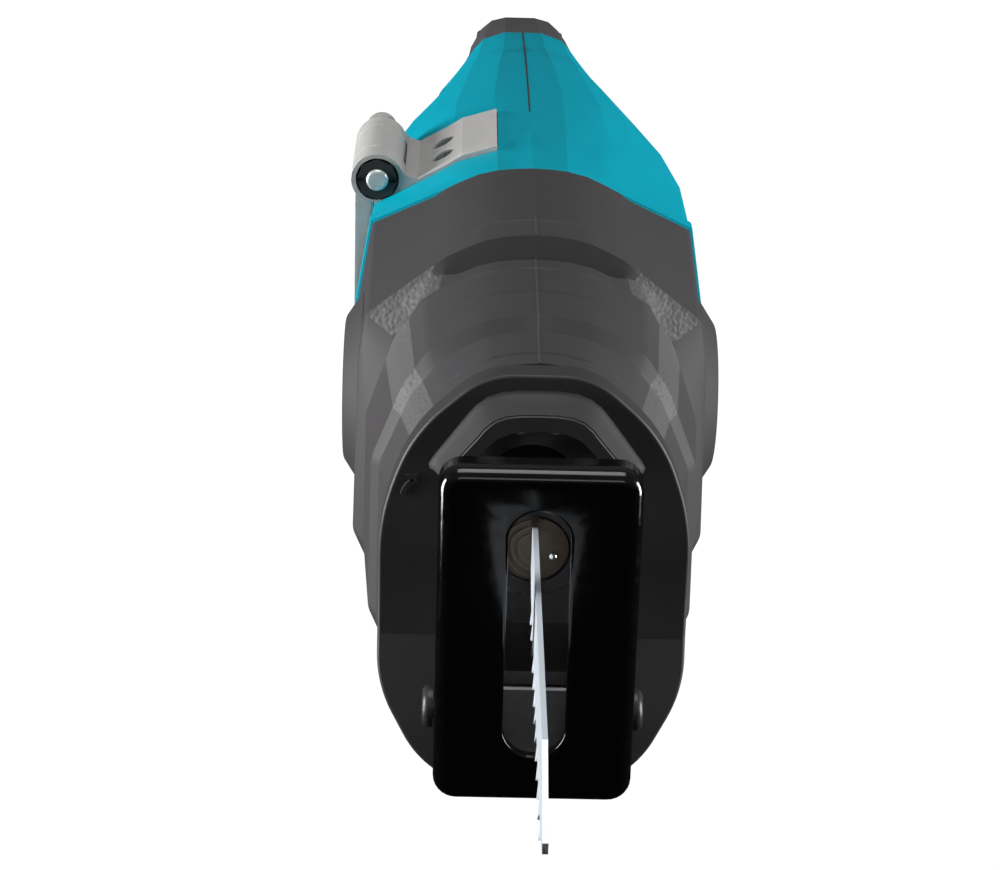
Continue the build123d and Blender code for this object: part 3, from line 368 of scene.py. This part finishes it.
def drawn_surface():
    """Fine scratches along one direction, as ground or drawn metal has."""
    tree, given, result = new_group(
        "drawn_surface",
        [("Stretch", "NodeSocketVector", (1, 1, 1)), ("Roughness", "NodeSocketFloat", 0.3)],
        [("Shade", "NodeSocketFloat"), ("Roughness", "NodeSocketFloat"), ("Height", "NodeSocketFloat")])
    place = tree.nodes.new("ShaderNodeTexCoord").outputs["Object"]
    pull = tree.nodes.new("ShaderNodeVectorMath")
    pull.operation = "MULTIPLY"
    tree.links.new(place, pull.inputs[0])
    tree.links.new(given.outputs["Stretch"], pull.inputs[1])
    lines = tree.nodes.new("ShaderNodeTexNoise")
    lines.inputs["Scale"].default_value = SCRATCH_SCALE
    lines.inputs["Detail"].default_value = 5
    tree.links.new(pull.outputs[0], lines.inputs["Vector"])
    drift = math_node(tree, "SUBTRACT", lines.outputs[0], 0.5)
    spread = math_node(tree, "MULTIPLY", drift, SCRATCH_DRIFT)
    tree.links.new(math_node(tree, "ADD", spread, 1.0), result.inputs["Shade"])
    gloss = math_node(tree, "ADD", spread, given.outputs["Roughness"])
    tree.links.new(gloss, result.inputs["Roughness"])
    tree.links.new(lines.outputs[0], result.inputs["Height"])
    return tree


MOULDED, STIPPLED, DRAWN = moulded_surface(), stippled_surface(), drawn_surface()


# Materials
def start_material(name, specular, coat):
    paint = bpy.data.materials.new(name)
    paint.use_nodes = True
    shader = paint.node_tree.nodes["Principled BSDF"]
    shader.inputs["Specular IOR Level"].default_value = specular
    shader.inputs["Coat Weight"].default_value = coat
    shader.inputs["Coat Roughness"].default_value = COAT_ROUGHNESS
    return paint, paint.node_tree, shader


def add_bump(tree, shader, height, depth):
    bump = tree.nodes.new("ShaderNodeBump")
    bump.inputs["Distance"].default_value = depth * MM
    bump.inputs["Strength"].default_value = 1.0
    tree.links.new(height, bump.inputs["Height"])
    tree.links.new(bump.outputs["Normal"], shader.inputs["Normal"])
    return bump


def plastic(name, color, roughness, grain=2.0, depth=0.02, specular=0.5, coat=0.0, stipple=0.0):
    """Moulded plastic or rubber; stipple gives raised dots per millimetre."""
    paint, tree, shader = start_material(name, specular, coat)
    skin = tree.nodes.new("ShaderNodeGroup")
    skin.node_tree = MOULDED
    skin.inputs["Color"].default_value = (*color, 1)
    skin.inputs["Roughness"].default_value = roughness
    skin.inputs["Grain per mm"].default_value = grain
    skin.inputs["Shade change"].default_value = SHADE_CHANGE
    tree.links.new(skin.outputs["Color"], shader.inputs["Base Color"])
    tree.links.new(skin.outputs["Roughness"], shader.inputs["Roughness"])
    bump = add_bump(tree, shader, skin.outputs["Height"], depth)
    if stipple:
        dots = tree.nodes.new("ShaderNodeGroup")
        dots.node_tree = STIPPLED
        dots.inputs["Dots per mm"].default_value = stipple
        raised = tree.nodes.new("ShaderNodeBump")
        raised.inputs["Distance"].default_value = STIPPLE_HEIGHT * MM
        tree.links.new(dots.outputs["Height"], raised.inputs["Height"])
        tree.links.new(raised.outputs["Normal"], bump.inputs["Normal"])
    return paint


def metal(name, color, roughness, stretch=(1, 1, 1), depth=0.006, metallic=1.0, specular=0.5, coat=0.0):
    """Bare or plated metal; stretch gives its scratches their direction."""
    paint, tree, shader = start_material(name, specular, coat)
    shader.inputs["Metallic"].default_value = metallic
    skin = tree.nodes.new("ShaderNodeGroup")
    skin.node_tree = DRAWN
    skin.inputs["Stretch"].default_value = stretch
    skin.inputs["Roughness"].default_value = roughness
    tint = tree.nodes.new("ShaderNodeVectorMath")
    tint.operation = "SCALE"
    tint.inputs[0].default_value = color
    tree.links.new(skin.outputs["Shade"], tint.inputs["Scale"])
    tree.links.new(tint.outputs[0], shader.inputs["Base Color"])
    tree.links.new(skin.outputs["Roughness"], shader.inputs["Roughness"])
    add_bump(tree, shader, skin.outputs["Height"], depth)
    return paint


FINISH = {
    "blade": metal("blade_steel", (0.62, 0.68, 0.74), 0.34, stretch=(1, 0.05, 1), metallic=0.25),
    "steel": metal("ground_steel", (0.56, 0.56, 0.57), 0.25),
    "spring_steel": metal("spring_wire", (0.42, 0.42, 0.43), 0.3),
    "black_steel": metal("blackened_steel", (0.035, 0.034, 0.035), 0.42, metallic=0.4),
    "shoe_steel": metal("shoe_gloss_black", (0.0016, 0.0012, 0.001), 0.14, metallic=0.0, specular=0.35,
                        coat=0.2, depth=0.001),
    "bearing_steel": metal("bearing_steel", (0.66, 0.66, 0.67), 0.16),
    "bronze": metal("sintered_bronze", (0.50, 0.34, 0.18), 0.45),
    "seal_rubber": plastic("seal_rubber", (0.02, 0.02, 0.02), 0.6),
    "rotor_steel": metal("rotor_laminations", (0.30, 0.30, 0.31), 0.4, stretch=(0.1, 6, 0.1)),
    "copper_windings": metal("winding_copper", (0.48, 0.20, 0.08), 0.35, stretch=(6, 0.2, 6)),
    "fan_plastic": plastic("fan_plastic", (0.03, 0.03, 0.03), 0.5),
    "cast_aluminium": metal("housing_casting", (0.36, 0.36, 0.37), 0.5, depth=0.05),
    "hook_casting": metal("hook_casting", (0.42, 0.415, 0.405), 0.5, depth=0.03, metallic=0.25),
    "zinc_screws": metal("zinc_plate", (0.60, 0.66, 0.66), 0.2),
    "screw_steel": metal("black_screw", (0.05, 0.05, 0.05), 0.35),
    "boot_rubber": plastic("boot_rubber", (0.036, 0.034, 0.036), 0.6, grain=3.0, depth=0.03,
                           specular=0.3),
    "guard_plastic": plastic("guard_plastic", (0.028, 0.027, 0.028), 0.5, grain=3.0, depth=0.02,
                             specular=0.35),
    "led_clear": plastic("lamp_lens", (0.75, 0.77, 0.77), 0.08, depth=0.001, coat=0.6),
    "circuit_board": plastic("lamp_board", (0.02, 0.12, 0.05), 0.35),
    "teal_plastic": plastic("teal_shell", (0.0, 0.245, 0.325), 0.50, grain=3.0, depth=0.012,
                            specular=0.09),
    "grip_rubber": plastic("grip_rubber", (0.050, 0.047, 0.050), 0.62, grain=3.0, depth=0.04),
    "black_plastic": plastic("black_plastic", (0.022, 0.022, 0.023), 0.42, grain=3.0, depth=0.015),
    "latch_plastic": plastic("latch_red", (0.38, 0.02, 0.02), 0.4),
    "cell_wrap": plastic("cell_wrap", (0.03, 0.2, 0.3), 0.25),
}
OWN_FINISH = {
    "shoe_bar": metal("phosphated_steel", (0.28, 0.28, 0.29), 0.5, metallic=0.2),
    "hook_bolt": metal("bolt_zinc", (0.62, 0.68, 0.68), 0.3, metallic=0.5),
    "clamp_body": metal("clamp_bronzed", (0.085, 0.065, 0.045), 0.4, metallic=0.4),
}
BOOT_DOTS = plastic("boot_stippled", (0.062, 0.060, 0.062), 0.62, grain=3.0, specular=0.42, stipple=0.9)
SLOT_OF = {part["node"]: part["material_slot"] for part in frame["record"]["subparts"]}
BODIES = frame["record"]["behaviour"]["bodies"]
BODY_OF = {node: body for body, nodes in BODIES.items() for node in nodes}


def finish_of(node):
    return OWN_FINISH.get(node, FINISH[SLOT_OF[node]])


def dress_cad_nodes():
    """Every CAD node that stays gets its slot's finish."""
    for node, made in NODES.items():
        made.data.materials.clear()
        made.data.materials.append(finish_of(node))


# Rubber boot over the gear housing
# Half outlines across the boot, from the crown round to the belly: (x, z) at each distance along Y
BOOT_SECTIONS = {
    48: ((7, 44.1), (15, 41.2), (21.7, 36.2), (27.8, 29), (35.3, 12), (36.2, -35), (30, -48.2),
         (16, -55.2)),
    66: ((8, 45.6), (17.5, 42.2), (25, 36.8), (31, 29), (38.5, 11), (39, -31), (32, -48), (17, -56.5)),
    68.6: ((9, 48.7), (19, 45.1), (27, 39.6), (33, 30.5), (40.5, 11), (41, -30), (33, -48.5),
           (18, -57)),
    103: ((9.5, 50.4), (20, 46.4), (28.5, 41.5), (36, 30.5), (43, 10), (43.5, -28), (34, -49),
          (19, -58.5)),
    106.6: ((9.5, 50.6), (20, 46.8), (26.9, 46.0), (41.4, 33.7), (44.8, 17), (45.7, -26.6),
            (35.4, -49.7), (20, -59)),
    108: ((9, 56.6), (19, 53), (26, 48.8), (43.5, 35), (45.5, 20), (46.5, -26), (36, -50), (20, -59.5)),
    160: ((9.5, 58.9), (20, 55.2), (26.8, 51), (43.7, 43), (47.5, 20), (47, -26), (36, -50), (20, -60)),
}
BOOT_FRONT, BOOT_BACK, END_TURN_IN = 48, 160, 0.93
BOOT_STATIONS = (48, 49.2, 60, 76, 94, 113, 127.5, 128.5, 145, 158.8, 160)
STEP_EDGES = (65.4, 66, 68.6, 69.3, 102.3, 103, 106.6, 108, 108.6)  # close together for crisp steps
CROWN_RISE = 0.7  # the crown's middle above its first corner
RIDGE_END, RIDGE_RISE, RIDGE_HALF = 128, 0.3, 0.4  # the mould line's ridge on the crown
# Fine grooves across the crown, and one raised line: depth at each distance along Y
FINGER_LINES = {54: -0.8, 85: -0.8, 100.5: -0.7, 119: 0.35, 156: -0.9}
LINE_HALF = 0.65
LINE_SHARES = (1.0, 1.0, 1.0, 1.0, 1.0, 0.9, 0.6, 0.3)  # each line dies away from the crown outwards
BOOT_ROUNDING = 1.3


def bulged(a, b, rise):
    """The point halfway between two, lifted a little so that the crown is round."""
    x, z = mixed(a, b, 0.5)
    return (x, z + rise)


def boot_section(y):
    """Half the boot's outline at y, with the mould line's ridge and the dotted cheek patch's edges."""
    half = between(BOOT_SECTIONS, y)
    crown = half[0][1] + CROWN_RISE
    ridge = crown + (RIDGE_RISE if y < RIDGE_END else 0.0)
    patch_top, patch_foot = mixed(half[2], half[3], 0.5), mixed(half[3], half[4], 0.3)
    edge = (RIDGE_HALF, crown)
    top = [(0.0, ridge), edge, bulged(edge, half[0], 0.15), half[0], bulged(half[0], half[1], 0.55),
           half[1], bulged(half[1], half[2], 0.3), half[2]]
    return [*top, patch_top, half[3], patch_foot, *half[4:]]


def boot():
    """The boot as rings along the tool, with lines across its crown and dotted patches on its neck."""
    mesh = bmesh.new()
    stations = [(y, 0.0) for y in (*BOOT_STATIONS, *STEP_EDGES)]
    for line, depth in FINGER_LINES.items():
        stations += [(line - LINE_HALF, 0.0), (line, depth), (line + LINE_HALF, 0.0)]
    loops = []
    for y, depth in sorted(stations):
        half = boot_section(y)
        for i, share in enumerate(LINE_SHARES):
            half[i] = (half[i][0], half[i][1] + depth * share)
        loops.append(outline(mesh, at_y(y, mirrored(half))))
    ends = []
    for y in (BOOT_FRONT, BOOT_BACK):
        inner = [(x * END_TURN_IN, z * END_TURN_IN) for x, z in mirrored(boot_section(y))]
        ends.append(outline(mesh, at_y(y, inner)))
    skinned(mesh, [ends[0], *loops, ends[1]])
    rounded(mesh, [e for e in lengthways(mesh, 11) if abs(e.verts[0].co.x) > 5 * MM], BOOT_ROUNDING)
    bmesh.ops.recalc_face_normals(mesh, faces=mesh.faces)
    for face in mesh.faces:
        place = face.calc_center_median() / MM
        section = boot_section(min(max(place.y, BOOT_FRONT), BOOT_BACK))
        on_step = 103 < place.y < 108 and 24 < abs(place.x) < 41 and 31 < place.z < 47
        on_cheek = 49 < place.y < 103 and section[10][1] < place.z < section[8][1] and abs(place.x) > 20
        face.material_index = int(on_step or on_cheek)
    made = finished_object("boot", mesh, smooth=42)
    made.data.materials.append(FINISH["boot_rubber"])
    made.data.materials.append(BOOT_DOTS)
    made.modifiers.new("flat_facets", "WEIGHTED_NORMAL").keep_sharp = True
    fit(made, BODY_OF["gear_boot"], None, "gear_boot")


# Nose guard with the hood over the lamp
GUARD_FRONT = 40.0
HOOD_FOOT = ((0, 41.0), (5.0, 40.9), (9.0, 40.4), (12.4, 39.0), (15.0, 36.9), (17.3, 34.0),
             (24.9, 23.6), (25.9, 21.8), (25.6, 20.5), (24.2, 20.0), (20.6, 20.0), (18.4, 21.0),
             (12.6, 28.4), (9.6, 31.4), (5.6, 33.2), (0, 33.6))
HOOD_LIP = ((0, 37.9), (4.4, 37.8), (7.8, 37.3), (10.4, 36.2), (12.4, 34.4), (14.4, 31.8),
            (21.0, 23.9), (21.7, 22.6), (21.5, 21.6), (20.6, 21.2), (19.4, 21.5), (17.8, 23.0),
            (12.8, 29.2), (9.8, 32.2), (5.8, 33.9), (0, 34.3))
HOOD_FRONT = 30.5


def hood():
    """Arched hood: its top slopes from the flange down to a thin front lip."""
    mesh = bmesh.new()
    back, lip = mirrored_ring(HOOD_FOOT), mirrored_ring(HOOD_LIP)
    loops = []
    for y, share in ((GUARD_FRONT + 2, 0.0), (GUARD_FRONT, 0.0), (38.8, 0.2), (35, 0.5), (31, 0.85),
                     (HOOD_FRONT + 0.5, 0.93), (HOOD_FRONT, 1.0)):
        points = [mixed(a, b, share) for a, b in zip(back, lip)]
        loops.append(outline(mesh, at_y(y, points)))
    skinned(mesh, loops)
    capped(mesh, loops[-1])
    bmesh.ops.recalc_face_normals(mesh, faces=mesh.faces)
    made = finished_object("lamp_hood", mesh, smooth=48)
    fit(made, BODY_OF["nose_guard"], FINISH["guard_plastic"], slot="guard_plastic")


def nose_flange():
    """The guard's flange; the CAD's plain hood is taken off where the shaped one sits."""
    made = softened("nose_guard", 1.2, least=20)
    mesh = bmesh.new()
    mesh.from_mesh(made.data)
    plain = [v for v in mesh.verts if v.co.y < (GUARD_FRONT - 0.5) * MM and v.co.z > 15 * MM]
    bmesh.ops.delete(mesh, geom=plain, context="VERTS")
    mesh.to_mesh(made.data)
    mesh.free()
    fit(made, BODY_OF["nose_guard"], FINISH["guard_plastic"], "nose_guard")


ARROW_MIDDLE, ARROW_RADIUS, ARROW_Y = (-27.3, 13.2), 4.6, 39.75


def guard_arrow():
    """Curved arrow in relief on the flange, showing which way the lever turns."""
    mesh = bmesh.new()
    for start in range(0, 60, 12):
        a = radians(118 + start)
        x, z = ARROW_MIDDLE[0] + ARROW_RADIUS * cos(a), ARROW_MIDDLE[1] + ARROW_RADIUS * sin(a)
        verts = slab(mesh, (-0.65, -0.25, -0.6), (0.65, 0.25, 0.6))
        bmesh.ops.rotate(mesh, verts=verts, cent=(0, 0, 0), matrix=Matrix.Rotation(-a, 3, "Y"))
        bmesh.ops.translate(mesh, verts=verts, vec=Vector((x, ARROW_Y, z)) * MM)
    drum(mesh, (-29.9, ARROW_Y, 18.2), "y", 1.7, 0.5, segments=3)
    bmesh.ops.recalc_face_normals(mesh, faces=mesh.faces)
    made = eased(finished_object("guard_arrow", mesh, smooth=30), 0.12, segments=2)
    fit(made, BODY_OF["nose_guard"], FINISH["guard_plastic"], slot="guard_plastic")


# Shoe
SHOE_WIDTH, SHOE_TOP, SHOE_BOTTOM, SHOE_DEPTH, SHOE_SHEET = 46.5, 36.7, -47.3, 9.0, 2.3
SHOE_CORNER, SHOE_ROLL = 5.5, 3.2
SLOT_WIDTH, SLOT_TOP, SLOT_BOTTOM = 14.5, 27.0, -35.0
LIP_DEPTH, LIP_ROLL = 2.4, 0.7
SHOE_PIVOT, EAR_RADIUS = (16.0, -30.5), 9  # (y, z)


def shoe():
    """Pressed tray with a rolled rim and a long slot with a rolled lip."""
    mesh = bmesh.new()
    half = SHOE_WIDTH / 2
    slab(mesh, (-half, 0, SHOE_BOTTOM), (half, SHOE_DEPTH, SHOE_TOP))
    corners = [e for e in mesh.edges if abs((e.verts[0].co - e.verts[1].co).y) > 1 * MM]
    rounded(mesh, corners, SHOE_CORNER, segments=7)
    rim = [e for e in mesh.edges if max(v.co.y for v in e.verts) < 0.01 * MM]
    rounded(mesh, rim, SHOE_ROLL, segments=7)
    open_faces = [f for f in mesh.faces if abs(f.normal.y) > 0.999 and len(f.verts) > 8]
    bmesh.ops.delete(mesh, geom=open_faces, context="FACES_ONLY")
    face_rim = [e for e in mesh.edges if e.is_boundary and max(v.co.y for v in e.verts) < 1 * MM]
    ring = bmesh.ops.create_circle(mesh, cap_ends=False, segments=36, radius=SLOT_WIDTH / 2 * MM,
                                   matrix=Matrix.Rotation(radians(90), 4, "X"))["verts"]
    for vert in ring:
        end = SLOT_TOP - SLOT_WIDTH / 2 if vert.co.z > 0 else SLOT_BOTTOM + SLOT_WIDTH / 2
        vert.co.z += end * MM
    slot_edges = list({e for v in ring for e in v.link_edges})
    bmesh.ops.triangle_fill(mesh, use_beauty=True, use_dissolve=False, normal=(0, -1, 0),
                            edges=face_rim + slot_edges)
    lip = bmesh.ops.extrude_edge_only(mesh, edges=slot_edges)["geom"]
    lip_verts = [v for v in lip if isinstance(v, bmesh.types.BMVert)]
    bmesh.ops.translate(mesh, verts=lip_verts, vec=(0, LIP_DEPTH * MM, 0))
    rounded(mesh, slot_edges, LIP_ROLL)
    bmesh.ops.recalc_face_normals(mesh, faces=mesh.faces)
    made = finished_object("shoe", mesh, smooth=50)
    sheet = made.modifiers.new("sheet", "SOLIDIFY")
    sheet.thickness = (SHOE_SHEET - 0.3) * MM
    sheet.offset = -1
    fit(made, "shoe", FINISH["shoe_steel"], "shoe_plate")


def shoe_ears():
    """The two ears that hang the shoe on its pin."""
    mesh = bmesh.new()
    outer = SHOE_WIDTH / 2 - 0.05
    for side in (-1, 1):
        x0, x1 = sorted((side * (outer - SHOE_SHEET), side * outer))
        slab(mesh, (x0, 6, SHOE_PIVOT[1] - EAR_RADIUS), (x1, SHOE_PIVOT[0], SHOE_PIVOT[1] + EAR_RADIUS))
        drum(mesh, ((x0 + x1) / 2, *SHOE_PIVOT), "x", EAR_RADIUS, SHOE_SHEET, segments=40)
    made = eased(finished_object("shoe_ears", mesh, smooth=30), 0.5)
    fit(made, "shoe", FINISH["shoe_steel"], slot="shoe_steel")


# Blade
TOOTH_PITCH, TOOTH_SET, TOOTH_TIPS = 4.2, 0.4, -11.9  # tips are the points below this height
LAST_TOOTH = 60


def saw_blade():
    """The blade with its teeth set a little to each side in turn."""
    mesh = bmesh.new()
    mesh.from_mesh(NODES["blade"].data)
    bmesh.ops.remove_doubles(mesh, verts=mesh.verts, dist=WELD * MM)
    for vert in mesh.verts:
        if vert.co.z / MM < TOOTH_TIPS:
            side = 1 if int((LAST_TOOTH - vert.co.y / MM) / TOOTH_PITCH) % 2 else -1
            vert.co.x += side * TOOTH_SET * MM
    made = finished_object("saw_blade", mesh, smooth=30)
    fit(made, "plunger", FINISH["blade"], "blade")


# Clamshell, handle, hook and battery
# Where the shells' seam shows on top, and where the black strip of painted shade is laid over it: (y, z)
# at the crown
SHELL_SEAM = ((218, 59.63), (240, 59.36), (280, 57.36), (305, 55.66), (320, 54.06), (344.8, 51.66))
# half width and depth of the black strip of painted shade over the seam
SEAM_SHADE_HALF, SEAM_SHADE_DEPTH = 0.26, 1.5
GROOVED = ("housing_left", "housing_right", "battery_case")  # their slots need every facet kept


EDGE_WIDTHS = {
    "housing_left": 1.1, "housing_right": 1.1, "grip_left": 0.8, "grip_right": 0.8,
    "hook_bracket": 0.8, "hook_arm": 1.2, "battery_case": 1.2, "battery_top": 0.8, "trigger": 1.0,
    "gear_housing": 0.6, "gear_housing_cover": 0.4, "side_bumpers": 0.8, "shoe_bar": 0.8,
}


def on_shell_seam(point):
    """Whether a point is where the shells' halves meet, in front of and behind the seam that the strip
    of painted shade covers.
    """
    return abs(point.x) < 0.05 and (point.y < SHELL_SEAM[0][0] or point.y > 344)


def soften_castings():
    """Rounded copies of the CAD pieces; the shells stay tight where their halves meet at the front."""
    for node, width in EDGE_WIDTHS.items():
        made = softened(node, width, flat=None if node in GROOVED else 0.4, closed=on_shell_seam,
                        steepen=node.startswith("gear_housing"))
        fit(made, BODY_OF[node], finish_of(node), node)


SHELL_FRONT = BOOT_SECTIONS[BOOT_BACK]
BEAD_HEIGHT = 0.9


def front_bead():
    """Raised band round the teal shell's front edge, which dies away over the crown."""
    mesh = bmesh.new()
    raised = []
    for i, (x, z) in enumerate(SHELL_FRONT):
        lift = 0.0 if i < 2 else BEAD_HEIGHT
        raised.append((x + lift * 0.75, z + (lift if z > 0 else -lift) * 0.6))
    flush = [(x - 0.3, z - (0.3 if z > 0 else -0.3)) for x, z in SHELL_FRONT]
    loops = [outline(mesh, at_y(y, mirrored(points))) for y, points in
             ((160.1, flush), (160.4, raised), (165.6, raised), (166.8, flush))]
    skinned(mesh, loops)
    bmesh.ops.recalc_face_normals(mesh, faces=mesh.faces)
    made = eased(finished_object("front_bead", mesh, smooth=40), 0.3, least=25, segments=2)
    fit(made, BODY_OF["housing_left"], FINISH["teal_plastic"], slot="teal_plastic")


HINGE_X, HINGE_Z, HINGE_BACK = -43, 54.4, 217.2


def hook_stop():
    """Domed end of the hinge behind the rear knuckle."""
    mesh = bmesh.new()
    drum(mesh, (HINGE_X, HINGE_BACK, HINGE_Z), "y", 4.6, 1.4, segments=36, tip=3.2)
    made = eased(finished_object("hook_stop", mesh, smooth=40), 0.4)
    fit(made, BODY_OF["hook_bracket"], FINISH["hook_casting"], slot=SLOT_OF["hook_bracket"])


BATTERY_BACK, BATTERY_HALF, BATTERY_BASE = 440.0, 41.0, -134.0
GAUGE_Z = -111


def battery_gauge():
    """Charge gauge on the pack's back: a framed panel with four lamp windows and a press pad."""
    panel, windows = bmesh.new(), bmesh.new()
    slab(panel, (-17, BATTERY_BACK - 1, GAUGE_Z - 6), (17, BATTERY_BACK + 0.7, GAUGE_Z + 6))
    drum(panel, (11.5, BATTERY_BACK + 0.8, GAUGE_Z), "y", 3.6, 1.0, segments=28)
    for i in range(4):
        x = -13.5 + 5 * i
        slab(windows, (x, BATTERY_BACK + 0.2, -112.4), (x + 3.2, BATTERY_BACK + 0.95, -109.6))
    frame_piece = eased(finished_object("battery_gauge", panel, smooth=30), 0.5)
    fit(frame_piece, BODY_OF["battery_case"], FINISH["black_plastic"], slot=SLOT_OF["battery_case"])
    lamps = eased(finished_object("battery_gauge_lamps", windows, smooth=30), 0.25)
    fit(lamps, BODY_OF["battery_case"], FINISH["led_clear"], slot=SLOT_OF["led_lenses"])


RIB_COUNT, RIB_START, RIB_PITCH = 6, 338, 5.2


def battery_ribs():
    """Upright ribs low on both sides of the pack."""
    mesh = bmesh.new()
    for side in (-1, 1):
        for i in range(RIB_COUNT):
            y = RIB_START + RIB_PITCH * i
            x0, x1 = sorted((side * (BATTERY_HALF - 1.0), side * (BATTERY_HALF + 0.7)))
            slab(mesh, (x0, y, BATTERY_BASE + 8), (x1, y + 2.0, -120.5))
    made = eased(finished_object("battery_ribs", mesh, smooth=30), 0.5)
    fit(made, BODY_OF["battery_case"], FINISH["black_plastic"], slot=SLOT_OF["battery_case"])


RING_RADII, RING_WIDTH, RING_Y = (3.4, 5.2, 7.0), 0.7, 40.45
WEDGE_RADIUS, WEDGE_Y = 8.3, 40.2
BALL_PLACE, BALL_RADIUS = (4.6, 39.9, -1.8), 1.1


def clamp_details():
    """Turned rings on the clamp's face, the dark half of its sleeve and its detent ball."""
    rings, dark, ball = bmesh.new(), bmesh.new(), bmesh.new()
    face = Matrix.Translation((0, RING_Y * MM, 0)) @ Matrix.Rotation(radians(90), 4, "X")
    for radius in RING_RADII:
        arc = bmesh.ops.create_circle(rings, cap_ends=False, segments=48, radius=radius * MM,
                                      matrix=face)
        edges = list({e for v in arc["verts"] for e in v.link_edges})
        band = bmesh.ops.extrude_edge_only(rings, edges=edges)["geom"]
        outer = [v for v in band if isinstance(v, bmesh.types.BMVert)]
        grow = (radius + RING_WIDTH) / radius
        bmesh.ops.scale(rings, verts=outer, vec=(grow, 1, grow))
    bmesh.ops.delete(rings, geom=[v for v in rings.verts if v.co.x > -0.8 * MM], context="VERTS")
    whole = rings.faces[:] + rings.edges[:] + rings.verts[:]
    bmesh.ops.solidify(rings, geom=whole, thickness=0.35 * MM)
    bmesh.ops.recalc_face_normals(rings, faces=rings.faces)
    made = eased(finished_object("clamp_rings", rings, smooth=40), 0.1, segments=2)
    fit(made, "plunger", OWN_FINISH["clamp_body"], slot=SLOT_OF["clamp_body"])
    drum(dark, (0, WEDGE_Y, 0), "y", WEDGE_RADIUS, 0.7, segments=48)
    bmesh.ops.delete(dark, geom=[v for v in dark.verts if v.co.x < 0.9 * MM], context="VERTS")
    bmesh.ops.holes_fill(dark, edges=dark.edges, sides=0)
    bmesh.ops.recalc_face_normals(dark, faces=dark.faces)
    made = eased(finished_object("clamp_wedge", dark, smooth=40), 0.2, segments=2)
    fit(made, "plunger", FINISH["screw_steel"], slot=SLOT_OF["clamp_sleeve"])
    place = Matrix.Translation(Vector(BALL_PLACE) * MM)
    bmesh.ops.create_uvsphere(ball, u_segments=20, v_segments=12, radius=BALL_RADIUS * MM, matrix=place)
    made = finished_object("clamp_ball", ball, smooth=60)
    fit(made, "plunger", FINISH["bearing_steel"], slot=SLOT_OF["gear_bearing"])


def painted_seam_shade():
    """A black strip of painted shade, laid just over the top of the handle where the two shells meet, in
    place of the shadow in the gap between them.
    """
    mesh = bmesh.new()
    loops = []
    for x in (-SEAM_SHADE_HALF, SEAM_SHADE_HALF):
        points = [*SHELL_SEAM, *[(y, z - SEAM_SHADE_DEPTH) for y, z in reversed(SHELL_SEAM)]]
        loops.append(outline(mesh, [(x, y, z) for y, z in points]))
    skinned(mesh, loops)
    capped(mesh, loops[0])
    capped(mesh, loops[1])
    bmesh.ops.recalc_face_normals(mesh, faces=mesh.faces)
    made = finished_object("painted_seam_shade", mesh, smooth=30)
    # the black seal rubber here is painted shade, standing in for the shadowed seam gap
    fit(made, BODY_OF["housing_left"], FINISH["seal_rubber"], slot=SLOT_OF["plunger_seal"])


place_camera()
light_studio()
lay_floor()
dress_cad_nodes()
boot()
nose_flange()
hood()
guard_arrow()
shoe()
shoe_ears()
saw_blade()
soften_castings()
front_bead()
hook_stop()
clamp_details()
# black strip of painted shade along the shells' seam
painted_seam_shade()
battery_gauge()
battery_ribs()
